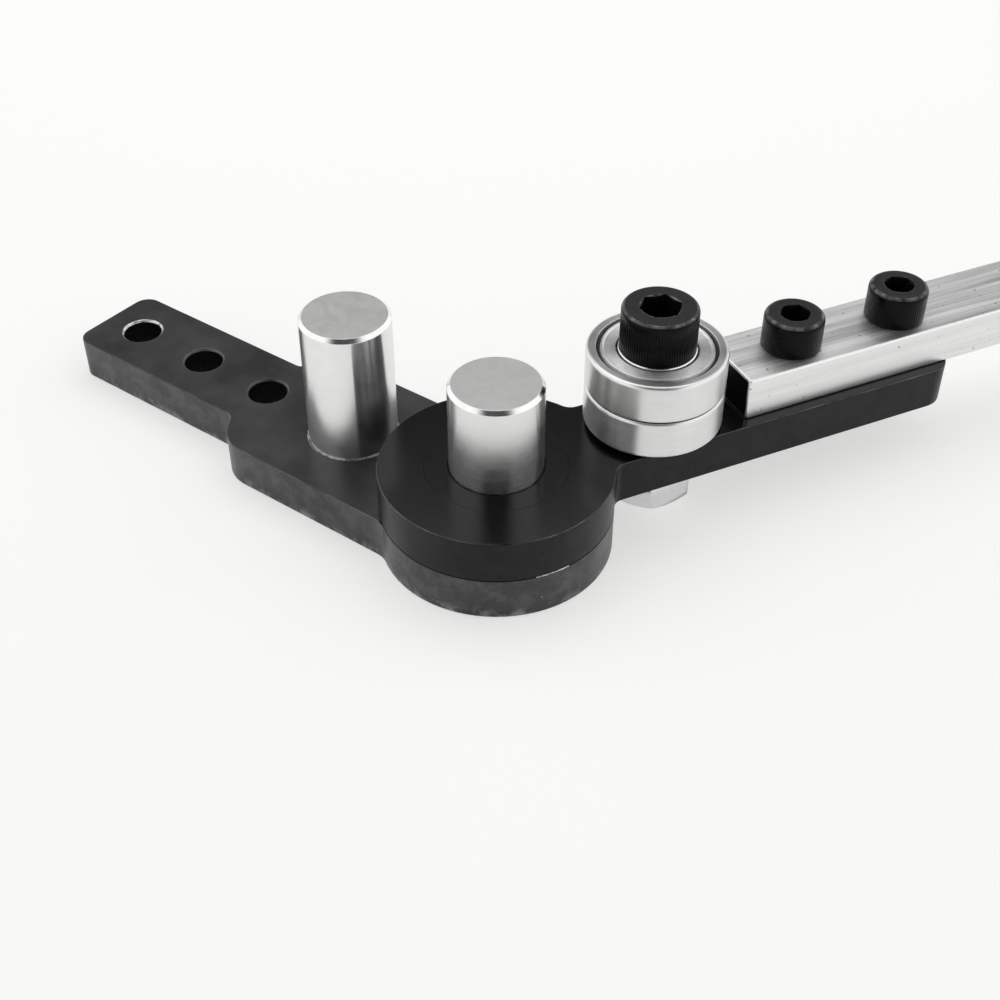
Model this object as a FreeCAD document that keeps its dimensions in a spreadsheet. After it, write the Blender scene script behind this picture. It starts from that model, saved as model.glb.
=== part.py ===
import FreeCAD, Part
import math
import os
import Sketcher

# Scroll bender: two stacked plates on one pivot pin, a stop pin in the lower plate,
# and a roller of two ball bearings on the upper, swinging plate.
# Millimetres. The origin is the pivot axis on the underside. +Z is up and the
# tail of the lower plate points along -X. The swinging arm rests at arm_turn.

doc = FreeCAD.newDocument("ScrollBender")
sheet = doc.addObject("Spreadsheet::Sheet", "Sizes")

sizes = {
    # Lower plate
    "base_thick": 10.0,
    "base_hub_radius": 25.1,
    "deck_half_width": 20.0,
    "deck_reach": 61.4,
    "tail_half_width": 11.75,
    "tail_reach": 119.4,
    "shoulder_run": 5.4,
    "shoulder_round": 10.0,
    "shoulder_blend": 3.0,
    "base_hub_blend": 6.0,
    "tail_corner_round": 3.8,
    "bench_hole_radius": 4.5,
    "bench_hole_start": 66.5,
    "bench_hole_pitch": 21.0,
    "bench_hole_bevel": 0.5,
    "edge_break": 0.25,
    # Pins
    "pin_radius": 10.0,
    "centre_pin_high": 40.8,
    "stop_pin_high": 41.4,
    "stop_pin_distance": 40.0,
    "pin_top_bevel": 0.8,
    "pin_foot_bevel": 0.5,
    "pin_seat_bevel": 0.4,
    # Swinging arm
    "arm_turn": 61.245,
    "arm_thick": 10.0,
    "arm_hub_radius": 25.1,
    "arm_half_width": 11.1,
    "arm_reach": 110.0,
    "arm_blend": 3.0,
    "arm_corner_round": 6.0,
    "bush_radius": 15.2,
    "bush_running_clearance": 0.05,
    "bush_inner_bevel": 0.3,
    # Lever bar
    "bar_half_width": 8.75,
    "bar_thick": 10.0,
    "bar_start": 55.3,
    "bar_length": 300.0,
    "lever_front_distance": 71.1,
    "lever_rear_distance": 98.5,
    "lever_front_turn": 45.0,
    "lever_rear_turn": 24.0,
    # Lever screws
    "lever_shank_radius": 4.0,
    "lever_screw_length": 20.0,
    "lever_head_radius": 6.635,
    "lever_head_high": 8.0,
    "lever_socket_flats": 6.0,
    "lever_socket_deep": 4.0,
    "lever_hole_clearance": 0.25,
    # Roller screw, washer and nut
    "roller_distance": 37.0,
    "roller_turn": 49.0,
    "roller_shank_radius": 4.95,
    "roller_screw_length": 35.0,
    "roller_head_radius": 8.135,
    "roller_head_high": 10.0,
    "roller_socket_flats": 8.0,
    "roller_socket_deep": 5.0,
    "roller_hole_clearance": 0.3,
    "washer_radius": 8.0,
    "washer_thick": 1.0,
    "nut_flats": 17.0,
    "nut_high": 8.0,
    "nut_turn": 68.0,
    # Screw details
    "head_bevel": 0.7,
    "socket_mouth_deep": 0.5,
    "tip_bevel": 0.9,
    "washer_bevel": 0.15,
    # Ball bearings
    "bearing_radius": 15.0,
    "bearing_bore_radius": 5.0,
    "bearing_wide": 9.0,
    "outer_face_setback": 0.05,
    "outer_bevel": 0.6,
    "inner_bevel": 0.3,
    "recess_radius": 12.9,
    "outer_shoulder_radius": 12.2,
    "inner_shoulder_radius": 8.35,
    "ball_circle_radius": 10.25,
    "ball_radius": 2.38,
    "race_clearance": 0.03,
    "cage_inner_radius": 9.6,
    "cage_outer_radius": 10.8,
    "cage_half_high": 2.9,
    "cage_clearance": 0.05,
    "shield_thick": 0.35,
    "shield_inner_radius": 8.8,
    "shield_rim_radius": 11.9,
    "shield_face_depth": 0.25,
    "shield_rim_depth": 0.6,
    # One overrun for every cut
    "overrun": 1.0,
}
ball_count = 8
bench_hole_count = 3

# Edges are found by place, within a small share of the plate's thickness
place_tolerance_share = 0.001
place_tolerance = place_tolerance_share * sizes["base_thick"]

for row, (name, value) in enumerate(sizes.items(), start=1):
    sheet.set(f"A{row}", name)
    sheet.set(f"B{row}", str(value))
    sheet.setAlias(f"B{row}", name)
doc.recompute()


def formula(text):
    """Return the text with every size name written as a cell of the sheet."""
    words = []
    word = ""
    for letter in text + " ":
        if letter.isalnum() or letter == "_":
            word += letter
            continue
        words.append(f"Sizes.{word}" if word in sizes else word)
        words.append(letter)
        word = ""
    return "".join(words).strip()


def amount(text):
    """Return the value that a formula of size names has now."""
    return float(sheet.evalExpression(formula(text)))


def bind(thing, field, text):
    """Bind one property of a document object to a formula of size names."""
    thing.setExpression(field, formula(text))


def place(piece, x="0", y="0", z="0", turn="0"):
    """Bind the placement of a piece: a position, and a turn in degrees about +Z."""
    bind(piece, "Placement.Base.x", x)
    bind(piece, "Placement.Base.y", y)
    bind(piece, "Placement.Base.z", z)
    bind(piece, "Placement.Rotation.Angle", f"({turn}) * 1deg")


def place_on_arm(piece, along="0", z="0", turn="arm_turn"):
    """Place a piece on the arm's centre line, at a distance from the pivot."""
    x = f"({along}) * cos(arm_turn * 1deg)"
    y = f"({along}) * sin(arm_turn * 1deg)"
    place(piece, x, y, z, turn)


def new_body(name):
    """Add one sub-part's body, labelled with its node name."""
    body = doc.addObject("PartDesign::Body", name)
    body.Label = name
    return body


def sketch_on(body, plane, name, lift="0"):
    """Add a sketch on one of the body's own origin planes, lifted by a formula."""
    sketch = body.newObject("Sketcher::SketchObject", f"{body.Name}_{name}")
    own = [item for item in body.Origin.OriginFeatures if item.Role == plane]
    sketch.AttachmentSupport = [(own[0], "")]
    sketch.MapMode = "FlatFace"
    bind(sketch, "AttachmentOffset.Base.z", lift)
    return sketch


def draw_outline(sketch, corners):
    """Draw a closed outline through corners, each a pair of formulas, all bound."""
    spots = [FreeCAD.Vector(amount(x), amount(y), 0) for x, y in corners]
    first = sketch.GeometryCount
    count = len(spots)
    for index in range(count):
        side = Part.LineSegment(spots[index], spots[(index + 1) % count])
        sketch.addGeometry(side)
    for index in range(count):
        following = first + (index + 1) % count
        joined = Sketcher.Constraint("Coincident", first + index, 2, following, 1)
        sketch.addConstraint(joined)
    for index, (x, y) in enumerate(corners):
        for kind, text in (("DistanceX", x), ("DistanceY", y)):
            rule = Sketcher.Constraint(kind, -1, 1, first + index, 1, amount(text))
            number = sketch.addConstraint(rule)
            sketch.setExpression(f"Constraints[{number}]", formula(text))


def draw_circle(sketch, radius, x="0", y="0"):
    """Draw one circle with a bound centre and radius."""
    centre = FreeCAD.Vector(amount(x), amount(y), 0)
    upward = FreeCAD.Vector(0, 0, 1)
    ring = sketch.addGeometry(Part.Circle(centre, upward, amount(radius)))
    for kind, text in (("DistanceX", x), ("DistanceY", y)):
        rule = Sketcher.Constraint(kind, -1, 1, ring, 3, amount(text))
        number = sketch.addConstraint(rule)
        sketch.setExpression(f"Constraints[{number}]", formula(text))
    number = sketch.addConstraint(Sketcher.Constraint("Radius", ring, amount(radius)))
    sketch.setExpression(f"Constraints[{number}]", formula(radius))


def add_pad(body, sketch, length):
    """Pad a sketch upward by a formula."""
    pad = body.newObject("PartDesign::Pad", f"{sketch.Name}_pad")
    pad.Profile = sketch
    bind(pad, "Length", length)
    return pad


def add_pocket(body, sketch, length, reverse=False):
    """Cut a pocket from a sketch and make sure that it removed something."""
    doc.recompute()
    before = body.Shape.Volume
    pocket = body.newObject("PartDesign::Pocket", f"{sketch.Name}_pocket")
    pocket.Profile = sketch
    bind(pocket, "Length", length)
    pocket.Reversed = reverse
    doc.recompute()
    if not body.Shape.Volume < before:
        raise ValueError(f"{pocket.Name} cuts nothing")
    return pocket


def add_turned(body, name, corners, cut=False):
    """Turn a profile of (radius, height) corners about Z, as a solid or as a cut."""
    sketch = sketch_on(body, "XZ_Plane", name)
    draw_outline(sketch, corners)
    return turn_sketch(body, sketch, cut)


def turn_sketch(body, sketch, cut=False):
    """Turn a sketch of the XZ plane fully round the Z axis."""
    kind = "PartDesign::Groove" if cut else "PartDesign::Revolution"
    doc.recompute()
    before = body.Shape.Volume if cut else 0
    turned = body.newObject(kind, f"{sketch.Name}_turned")
    turned.Profile = sketch
    turned.ReferenceAxis = (sketch, ["V_Axis"])
    turned.Angle = 360
    doc.recompute()
    if cut and not body.Shape.Volume < before:
        raise ValueError(f"{turned.Name} cuts nothing")
    return turned


def upright_edges(shape, spots):
    """Name the straight upright edges of a shape that stand at the given places."""
    found = []
    for number, edge in enumerate(shape.Edges, start=1):
        ends = [vertex.Point for vertex in edge.Vertexes]
        if len(ends) != 2:
            continue
        for x, y in spots:
            if all(math.hypot(end.x - x, end.y - y) < place_tolerance for end in ends):
                found.append(f"Edge{number}")
    return found


def face_edges(shape, height):
    """Name the edges of a shape that lie in the level plane at a height."""
    found = []
    for number, edge in enumerate(shape.Edges, start=1):
        box = edge.BoundBox
        if abs(box.ZMin - height) < place_tolerance and abs(box.ZMax - height) < place_tolerance:
            found.append(f"Edge{number}")
    return found


def round_edges(body, name, spots, radius):
    """Round the upright edges that stand at places, each a pair of formulas."""
    doc.recompute()
    base = body.Tip
    numbers = [(amount(x), amount(y)) for x, y in spots]
    edges = upright_edges(base.Shape, numbers)
    if len(edges) != len(spots):
        raise ValueError(f"{name} finds {len(edges)} of {len(spots)} edges")
    fillet = body.newObject("PartDesign::Fillet", f"{body.Name}_{name}")
    fillet.Base = (base, edges)
    bind(fillet, "Radius", radius)
    return fillet


def break_edges(body, name, heights, size, keep=None):
    """Bevel the edges that lie at the given heights, where keep allows the edge."""
    doc.recompute()
    base = body.Tip
    edges = []
    for height in heights:
        for edge in face_edges(base.Shape, amount(height)):
            if keep is None or keep(base.Shape.getElement(edge)):
                edges.append(edge)
    bevel = body.newObject("PartDesign::Chamfer", f"{body.Name}_{name}")
    bevel.Base = (base, edges)
    bind(bevel, "Size", size)
    return bevel


def round_hole(edge, radius):
    """Tell whether an edge is a full circle of the given radius."""
    curve = edge.Curve
    whole = edge.Closed and curve.TypeId == "Part::GeomCircle"
    return whole and abs(curve.Radius - radius) < place_tolerance


def hexagon(flats):
    """Give the six corners of a hexagon, as formulas of its width over flats."""
    corner = f"({flats}) / 2 / cos(30deg)"
    return [(f"{corner} * cos({60 * step}deg)", f"{corner} * sin({60 * step}deg)")
            for step in range(6)]


# Lower plate: round hub, wide deck, shoulder on both sides and a narrow tail
def make_base_plate():
    body = new_body("base_plate")
    hub = sketch_on(body, "XY_Plane", "hub")
    draw_circle(hub, "base_hub_radius")
    add_pad(body, hub, "base_thick")
    blade = sketch_on(body, "XY_Plane", "blade")
    shoulder = "-deck_reach - shoulder_run"
    draw_outline(blade, [
        ("0", "-deck_half_width"),
        ("0", "deck_half_width"),
        ("-deck_reach", "deck_half_width"),
        (shoulder, "tail_half_width"),
        ("-tail_reach", "tail_half_width"),
        ("-tail_reach", "-tail_half_width"),
        (shoulder, "-tail_half_width"),
        ("-deck_reach", "-deck_half_width"),
    ])
    add_pad(body, blade, "base_thick")
    sides = ("", "-")
    hub_meets_deck = "-sqrt(base_hub_radius * base_hub_radius - deck_half_width * deck_half_width)"
    round_edges(body, "hub_blend",
                [(hub_meets_deck, f"{side}deck_half_width") for side in sides], "base_hub_blend")
    round_edges(body, "shoulder_round",
                [("-deck_reach", f"{side}deck_half_width") for side in sides], "shoulder_round")
    round_edges(body, "shoulder_blend",
                [(shoulder, f"{side}tail_half_width") for side in sides], "shoulder_blend")
    round_edges(body, "tail_corners",
                [("-tail_reach", f"{side}tail_half_width") for side in sides], "tail_corner_round")
    break_edges(body, "edge_break", ("0", "base_thick"), "edge_break")
    holes = sketch_on(body, "XY_Plane", "holes", "base_thick")
    for step in range(bench_hole_count):
        draw_circle(holes, "bench_hole_radius", f"-bench_hole_start - {step} * bench_hole_pitch")
    add_pocket(body, holes, "base_thick + overrun")
    bench_radius = sizes["bench_hole_radius"]
    break_edges(body, "hole_bevel", ("0", "base_thick"), "bench_hole_bevel",
                lambda edge: round_hole(edge, bench_radius))
    seats = sketch_on(body, "XY_Plane", "seats", "base_thick")
    draw_circle(seats, "pin_radius")
    draw_circle(seats, "pin_radius", "-stop_pin_distance")
    add_pocket(body, seats, "base_thick + overrun")
    seat_radius = sizes["pin_radius"]
    break_edges(body, "seat_bevel", ("base_thick",), "pin_seat_bevel",
                lambda edge: round_hole(edge, seat_radius))
    place(body)
    return body


# Pins: plain turned pins pressed through the lower plate, flush below
def make_pin(name, high, x):
    body = new_body(name)
    add_turned(body, "profile", [
        ("0", "0"),
        ("pin_radius - pin_foot_bevel", "0"),
        ("pin_radius", "pin_foot_bevel"),
        ("pin_radius", f"{high} - pin_top_bevel"),
        ("pin_radius - pin_top_bevel", high),
        ("0", high),
    ])
    place(body, x)
    return body


# Swinging arm: hub bored for the bush, arm bored for the roller screw and tapped for the lever
def make_swing_arm():
    body = new_body("swing_arm")
    hub = sketch_on(body, "XY_Plane", "hub")
    draw_circle(hub, "arm_hub_radius")
    add_pad(body, hub, "arm_thick")
    blade = sketch_on(body, "XY_Plane", "blade")
    draw_outline(blade, [
        ("0", "-arm_half_width"),
        ("arm_reach", "-arm_half_width"),
        ("arm_reach", "arm_half_width"),
        ("0", "arm_half_width"),
    ])
    add_pad(body, blade, "arm_thick")
    sides = ("", "-")
    hub_meets_arm = "sqrt(arm_hub_radius * arm_hub_radius - arm_half_width * arm_half_width)"
    round_edges(body, "hub_blend",
                [(hub_meets_arm, f"{side}arm_half_width") for side in sides], "arm_blend")
    round_edges(body, "end_corners",
                [("arm_reach", f"{side}arm_half_width") for side in sides], "arm_corner_round")
    break_edges(body, "edge_break", ("0", "arm_thick"), "edge_break")
    bores = sketch_on(body, "XY_Plane", "bores", "arm_thick")
    draw_circle(bores, "bush_radius")
    draw_circle(bores, "roller_shank_radius + roller_hole_clearance", "roller_distance")
    draw_circle(bores, "lever_shank_radius", "lever_front_distance")
    draw_circle(bores, "lever_shank_radius", "lever_rear_distance")
    add_pocket(body, bores, "arm_thick + overrun")
    place_on_arm(body, "0", "base_thick")
    return body


# Pivot bush: pressed flush into the arm's hub, running on the centre pin
def make_pivot_bush():
    body = new_body("pivot_bush")
    bore = "pin_radius + bush_running_clearance"
    add_turned(body, "profile", [
        (f"{bore} + bush_inner_bevel", "0"),
        ("bush_radius", "0"),
        ("bush_radius", "arm_thick"),
        (f"{bore} + bush_inner_bevel", "arm_thick"),
        (bore, "arm_thick - bush_inner_bevel"),
        (bore, "bush_inner_bevel"),
    ])
    place_on_arm(body, "0", "base_thick")
    return body


# Lever bar: flat bar on top of the arm, clamped by two screws
def make_lever_bar():
    body = new_body("lever_bar")
    blade = sketch_on(body, "XY_Plane", "blade")
    draw_outline(blade, [
        ("0", "-bar_half_width"),
        ("bar_length", "-bar_half_width"),
        ("bar_length", "bar_half_width"),
        ("0", "bar_half_width"),
    ])
    add_pad(body, blade, "bar_thick")
    break_edges(body, "edge_break", ("0", "bar_thick"), "edge_break")
    bores = sketch_on(body, "XY_Plane", "bores", "bar_thick")
    hole = "lever_shank_radius + lever_hole_clearance"
    draw_circle(bores, hole, "lever_front_distance - bar_start")
    draw_circle(bores, hole, "lever_rear_distance - bar_start")
    add_pocket(body, bores, "bar_thick + overrun")
    place_on_arm(body, "bar_start", "base_thick + arm_thick")
    return body


# Socket head cap screw: its seat under the head is at height zero
def make_cap_screw(name, kind, length):
    body = new_body(name)
    head = f"{kind}_head_radius"
    high = f"{kind}_head_high"
    shank = f"{kind}_shank_radius"
    add_turned(body, "profile", [
        ("0", f"-{length}"),
        (f"{shank} - tip_bevel", f"-{length}"),
        (shank, f"-{length} + tip_bevel"),
        (shank, "0"),
        (head, "0"),
        (head, f"{high} - head_bevel"),
        (f"{head} - head_bevel", high),
        ("0", high),
    ])
    socket = sketch_on(body, "XY_Plane", "socket", high)
    draw_outline(socket, hexagon(f"{kind}_socket_flats"))
    add_pocket(body, socket, f"{kind}_socket_deep")
    mouth = f"{kind}_socket_flats / 2 / cos(30deg)"
    add_turned(body, "mouth", [
        ("0", f"{high} - socket_mouth_deep"),
        (f"{mouth} - socket_mouth_deep / 2", f"{high} - socket_mouth_deep"),
        (f"{mouth} + socket_mouth_deep / 2", high),
        ("0", high),
    ], cut=True)
    return body


def make_lever_screw(name, distance, turn):
    body = make_cap_screw(name, "lever", "lever_screw_length")
    place_on_arm(body, distance, "base_thick + arm_thick + bar_thick", turn)
    return body


def make_roller_screw():
    body = make_cap_screw("roller_screw", "roller", "roller_screw_length")
    seat = "base_thick + arm_thick + washer_thick + 2 * bearing_wide"
    place_on_arm(body, "roller_distance", seat, "roller_turn")
    return body


def make_roller_washer():
    body = new_body("roller_washer")
    bore = "roller_shank_radius + roller_hole_clearance"
    add_turned(body, "profile", [
        (bore, "0"),
        ("washer_radius - washer_bevel", "0"),
        ("washer_radius", "washer_bevel"),
        ("washer_radius", "washer_thick - washer_bevel"),
        ("washer_radius - washer_bevel", "washer_thick"),
        (bore, "washer_thick"),
    ])
    place_on_arm(body, "roller_distance", "base_thick + arm_thick")
    return body


# Hexagon nut under the arm, its corners turned down at both faces
def make_roller_nut():
    body = new_body("roller_nut")
    blank = sketch_on(body, "XY_Plane", "blank")
    draw_outline(blank, hexagon("nut_flats"))
    add_pad(body, blank, "nut_high")
    corner = "nut_flats / 2 / cos(30deg)"
    drop = f"({corner} - nut_flats / 2 + overrun) * tan(30deg)"
    for name, face, inward in (("lower", "0", ""), ("upper", "nut_high", "-")):
        add_turned(body, name, [
            ("nut_flats / 2", face),
            (f"{corner} + overrun", face),
            (f"{corner} + overrun", f"{face} + {inward}{drop}"),
        ], cut=True)
    thread = sketch_on(body, "XY_Plane", "thread", "nut_high")
    draw_circle(thread, "roller_shank_radius")
    add_pocket(body, thread, "nut_high + overrun")
    place_on_arm(body, "roller_distance", "base_thick - nut_high", "nut_turn")
    return body


# Ball bearing: its middle plane is at height zero
def make_outer_race(name, height):
    body = new_body(name)
    half = "(bearing_wide / 2 - outer_face_setback)"
    floor = f"({half} - shield_rim_depth - shield_thick)"
    add_turned(body, "profile", [
        ("outer_shoulder_radius", f"-{floor}"),
        ("recess_radius", f"-{floor}"),
        ("recess_radius", f"-{half}"),
        ("bearing_radius - outer_bevel", f"-{half}"),
        ("bearing_radius", f"outer_bevel - {half}"),
        ("bearing_radius", f"{half} - outer_bevel"),
        ("bearing_radius - outer_bevel", half),
        ("recess_radius", half),
        ("recess_radius", floor),
        ("outer_shoulder_radius", floor),
    ])
    cut_raceway(body)
    place_on_arm(body, "roller_distance", height)
    return body


def make_inner_race(name, height):
    body = new_body(name)
    half = "(bearing_wide / 2)"
    add_turned(body, "profile", [
        ("bearing_bore_radius", f"inner_bevel - {half}"),
        ("bearing_bore_radius + inner_bevel", f"-{half}"),
        ("inner_shoulder_radius - inner_bevel", f"-{half}"),
        ("inner_shoulder_radius", f"inner_bevel - {half}"),
        ("inner_shoulder_radius", f"{half} - inner_bevel"),
        ("inner_shoulder_radius - inner_bevel", half),
        ("bearing_bore_radius + inner_bevel", half),
        ("bearing_bore_radius", f"{half} - inner_bevel"),
    ])
    cut_raceway(body)
    place_on_arm(body, "roller_distance", height)
    return body


def cut_raceway(body):
    """Turn the round raceway for the balls out of a race."""
    sketch = sketch_on(body, "XZ_Plane", "raceway")
    draw_circle(sketch, "ball_radius + race_clearance", "ball_circle_radius")
    turn_sketch(body, sketch, cut=True)


def make_balls(name, height):
    """Set the balls evenly on their circle, as one group."""
    spheres = []
    for step in range(ball_count):
        sphere = doc.addObject("Part::Sphere", f"{name}_{step + 1}")
        bind(sphere, "Radius", "ball_radius")
        angle = f"{360 * step / ball_count}deg"
        bind(sphere, "Placement.Base.x", f"ball_circle_radius * cos({angle})")
        bind(sphere, "Placement.Base.y", f"ball_circle_radius * sin({angle})")
        spheres.append(sphere)
    group = doc.addObject("Part::Compound", name)
    group.Label = name
    group.Links = spheres
    place_on_arm(group, "roller_distance", height)
    return group


def make_cage(name, height):
    """Turn a ring and cut one round pocket in it for each ball."""
    body = new_body(name)
    add_turned(body, "profile", [
        ("cage_inner_radius", "-cage_half_high"),
        ("cage_outer_radius", "-cage_half_high"),
        ("cage_outer_radius", "cage_half_high"),
        ("cage_inner_radius", "cage_half_high"),
    ])
    window = sketch_on(body, "YZ_Plane", "window")
    draw_circle(window, "ball_radius + cage_clearance")
    pocket = add_pocket(body, window, "cage_outer_radius + overrun")
    own = {item.Role: item for item in body.Origin.OriginFeatures}
    before = body.Shape.Volume
    pattern = body.newObject("PartDesign::PolarPattern", f"{name}_pockets")
    pattern.Originals = [pocket]
    pattern.Axis = (own["Z_Axis"], [""])
    pattern.Angle = 360
    pattern.Occurrences = ball_count
    body.Tip = pattern
    doc.recompute()
    if not body.Shape.Volume < before:
        raise ValueError(f"{name} has only one pocket")
    place_on_arm(body, "roller_distance", height)
    return body


def make_shield(name, height, way):
    """Turn a pressed shield: flat web, sunk rim on the race's shoulder."""
    body = new_body(name)
    half = "(bearing_wide / 2 - outer_face_setback)"
    web = f"({half} - shield_face_depth)"
    rim = f"({half} - shield_rim_depth)"
    add_turned(body, "profile", [
        ("shield_inner_radius", f"{way}({web} - shield_thick)"),
        ("shield_rim_radius", f"{way}({web} - shield_thick)"),
        ("shield_rim_radius", f"{way}({rim} - shield_thick)"),
        ("recess_radius", f"{way}({rim} - shield_thick)"),
        ("recess_radius", f"{way}{rim}"),
        ("shield_rim_radius + shield_thick", f"{way}{rim}"),
        ("shield_rim_radius", f"{way}{web}"),
        ("shield_inner_radius", f"{way}{web}"),
    ])
    place_on_arm(body, "roller_distance", height)
    return body


def make_bearing(prefix, height):
    """Make the six sub-parts of one shielded ball bearing."""
    return [
        make_outer_race(f"{prefix}_outer_race", height),
        make_inner_race(f"{prefix}_inner_race", height),
        make_balls(f"{prefix}_balls", height),
        make_cage(f"{prefix}_cage", height),
        make_shield(f"{prefix}_shield_top", height, ""),
        make_shield(f"{prefix}_shield_bottom", height, "-"),
    ]


lower_bearing_height = "base_thick + arm_thick + washer_thick + bearing_wide / 2"
upper_bearing_height = f"{lower_bearing_height} + bearing_wide"

parts = [
    make_base_plate(),
    make_pin("centre_pin", "centre_pin_high", "0"),
    make_pin("stop_pin", "stop_pin_high", "-stop_pin_distance"),
    make_swing_arm(),
    make_pivot_bush(),
    make_lever_bar(),
    make_lever_screw("lever_screw_front", "lever_front_distance", "lever_front_turn"),
    make_lever_screw("lever_screw_rear", "lever_rear_distance", "lever_rear_turn"),
    make_roller_screw(),
    make_roller_washer(),
    make_roller_nut(),
]
parts += make_bearing("lower", lower_bearing_height)
parts += make_bearing("upper", upper_bearing_height)

doc.recompute()

# Nothing is written unless every object is sound
for item in doc.Objects:
    if "Invalid" in item.State or "Error" in item.State:
        raise ValueError(f"{item.Name} is not sound: {item.State}")
for piece in parts:
    if piece.Shape.isNull() or not piece.Shape.isValid():
        raise ValueError(f"{piece.Label} has no valid shape")

os.makedirs("parts", exist_ok=True)
for piece in parts:
    piece.Shape.exportStep(f"parts/{piece.Label}.step")
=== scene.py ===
"""Looks of a bench scroll bender: plates, pins, lever, screws and a roller of ball bearings.

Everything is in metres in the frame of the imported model: the origin is the pivot axis on the
underside, +Z is up and the tail of the lower plate points along -X.
"""
import bmesh
import bpy
import math
import numpy as np
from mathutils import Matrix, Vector


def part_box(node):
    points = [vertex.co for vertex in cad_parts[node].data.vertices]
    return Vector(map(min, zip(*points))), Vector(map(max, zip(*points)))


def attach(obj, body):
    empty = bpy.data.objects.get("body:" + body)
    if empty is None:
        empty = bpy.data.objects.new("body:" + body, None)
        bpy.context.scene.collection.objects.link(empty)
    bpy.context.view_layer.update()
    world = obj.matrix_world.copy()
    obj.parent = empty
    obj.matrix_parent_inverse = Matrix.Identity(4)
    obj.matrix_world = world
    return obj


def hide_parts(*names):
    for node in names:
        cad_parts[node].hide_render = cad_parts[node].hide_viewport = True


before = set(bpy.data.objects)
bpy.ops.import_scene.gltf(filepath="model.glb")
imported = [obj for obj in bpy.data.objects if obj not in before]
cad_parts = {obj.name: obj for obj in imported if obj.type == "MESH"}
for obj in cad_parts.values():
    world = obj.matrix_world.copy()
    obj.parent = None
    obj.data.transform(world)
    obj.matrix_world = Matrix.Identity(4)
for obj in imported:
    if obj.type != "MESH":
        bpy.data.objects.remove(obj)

bl_info = {
    "name": "Scroll Bender",
    "version": (1, 0, 0),
    "blender": (4, 5, 0),
    "location": "View3D > Sidebar > Scroll Bender",
    "description": "Builds the plates, pins, lever, screws and bearings of a bench scroll bender",
    "category": "Object",
}

MM = 0.001
# Edges that turn by less than this are shaded smooth
SMOOTH_LIMIT = math.radians(50)
# Size of the normal's Z above which a face counts as level, and below which as upright
LEVEL_FACE, UPRIGHT_FACE = 0.995, 0.2
# Width of the strips that keep the shading of a flat clear of the arc beside it
HOLD = 0.05 * MM
# Most of a noise texture lies between these two
NOISE_LOW, NOISE_HIGH = 0.35, 0.65
# Points closer than the first are one point, and edges shorter than the second are left out
WELD, TINY = 1e-7, 1e-8


# Places read from the frame

def middle(node):
    """Centre of a node's box, as an array."""
    low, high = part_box(node)
    return (np.array(low) + np.array(high)) / 2


def base_height(node):
    """Height of a node's lowest point."""
    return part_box(node)[0][2]


def top_height(node):
    """Height of a node's highest point."""
    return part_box(node)[1][2]


def half_width(node):
    """Half of a node's width along X, its radius if it is round."""
    low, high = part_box(node)
    return (high[0] - low[0]) / 2


ROLLER_AXIS = middle("roller_screw")
ARM_TURN = math.atan2(ROLLER_AXIS[1], ROLLER_AXIS[0])


# Settings that a user may change

def linear(hex_colour):
    """Turn an sRGB hex colour into linear RGBA."""
    parts = [int(hex_colour[i:i + 2], 16) / 255 for i in (1, 3, 5)]
    low = [p / 12.92 if p <= 0.04045 else ((p + 0.055) / 1.055) ** 2.4 for p in parts]
    return (*low, 1.0)


def amount(name, description, value, **kind):
    """A number property, plain or of a kind such as a factor."""
    return bpy.props.FloatProperty(name=name, description=description, default=value, **kind)


def length(name, description, millimetres):
    """A length property in metres whose default is given in millimetres."""
    return amount(name, description, millimetres * MM, subtype="DISTANCE", unit="LENGTH", precision=5)


def turn(name, description, degrees):
    """An angle property whose default is given in degrees."""
    return amount(name, description, math.radians(degrees), subtype="ANGLE")


def colour(name, description, hex_colour):
    """A colour property whose default is given as an sRGB hex value."""
    return bpy.props.FloatVectorProperty(
        name=name, description=description, default=linear(hex_colour), size=4,
        subtype="COLOR", min=0.0, max=1.0)


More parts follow.
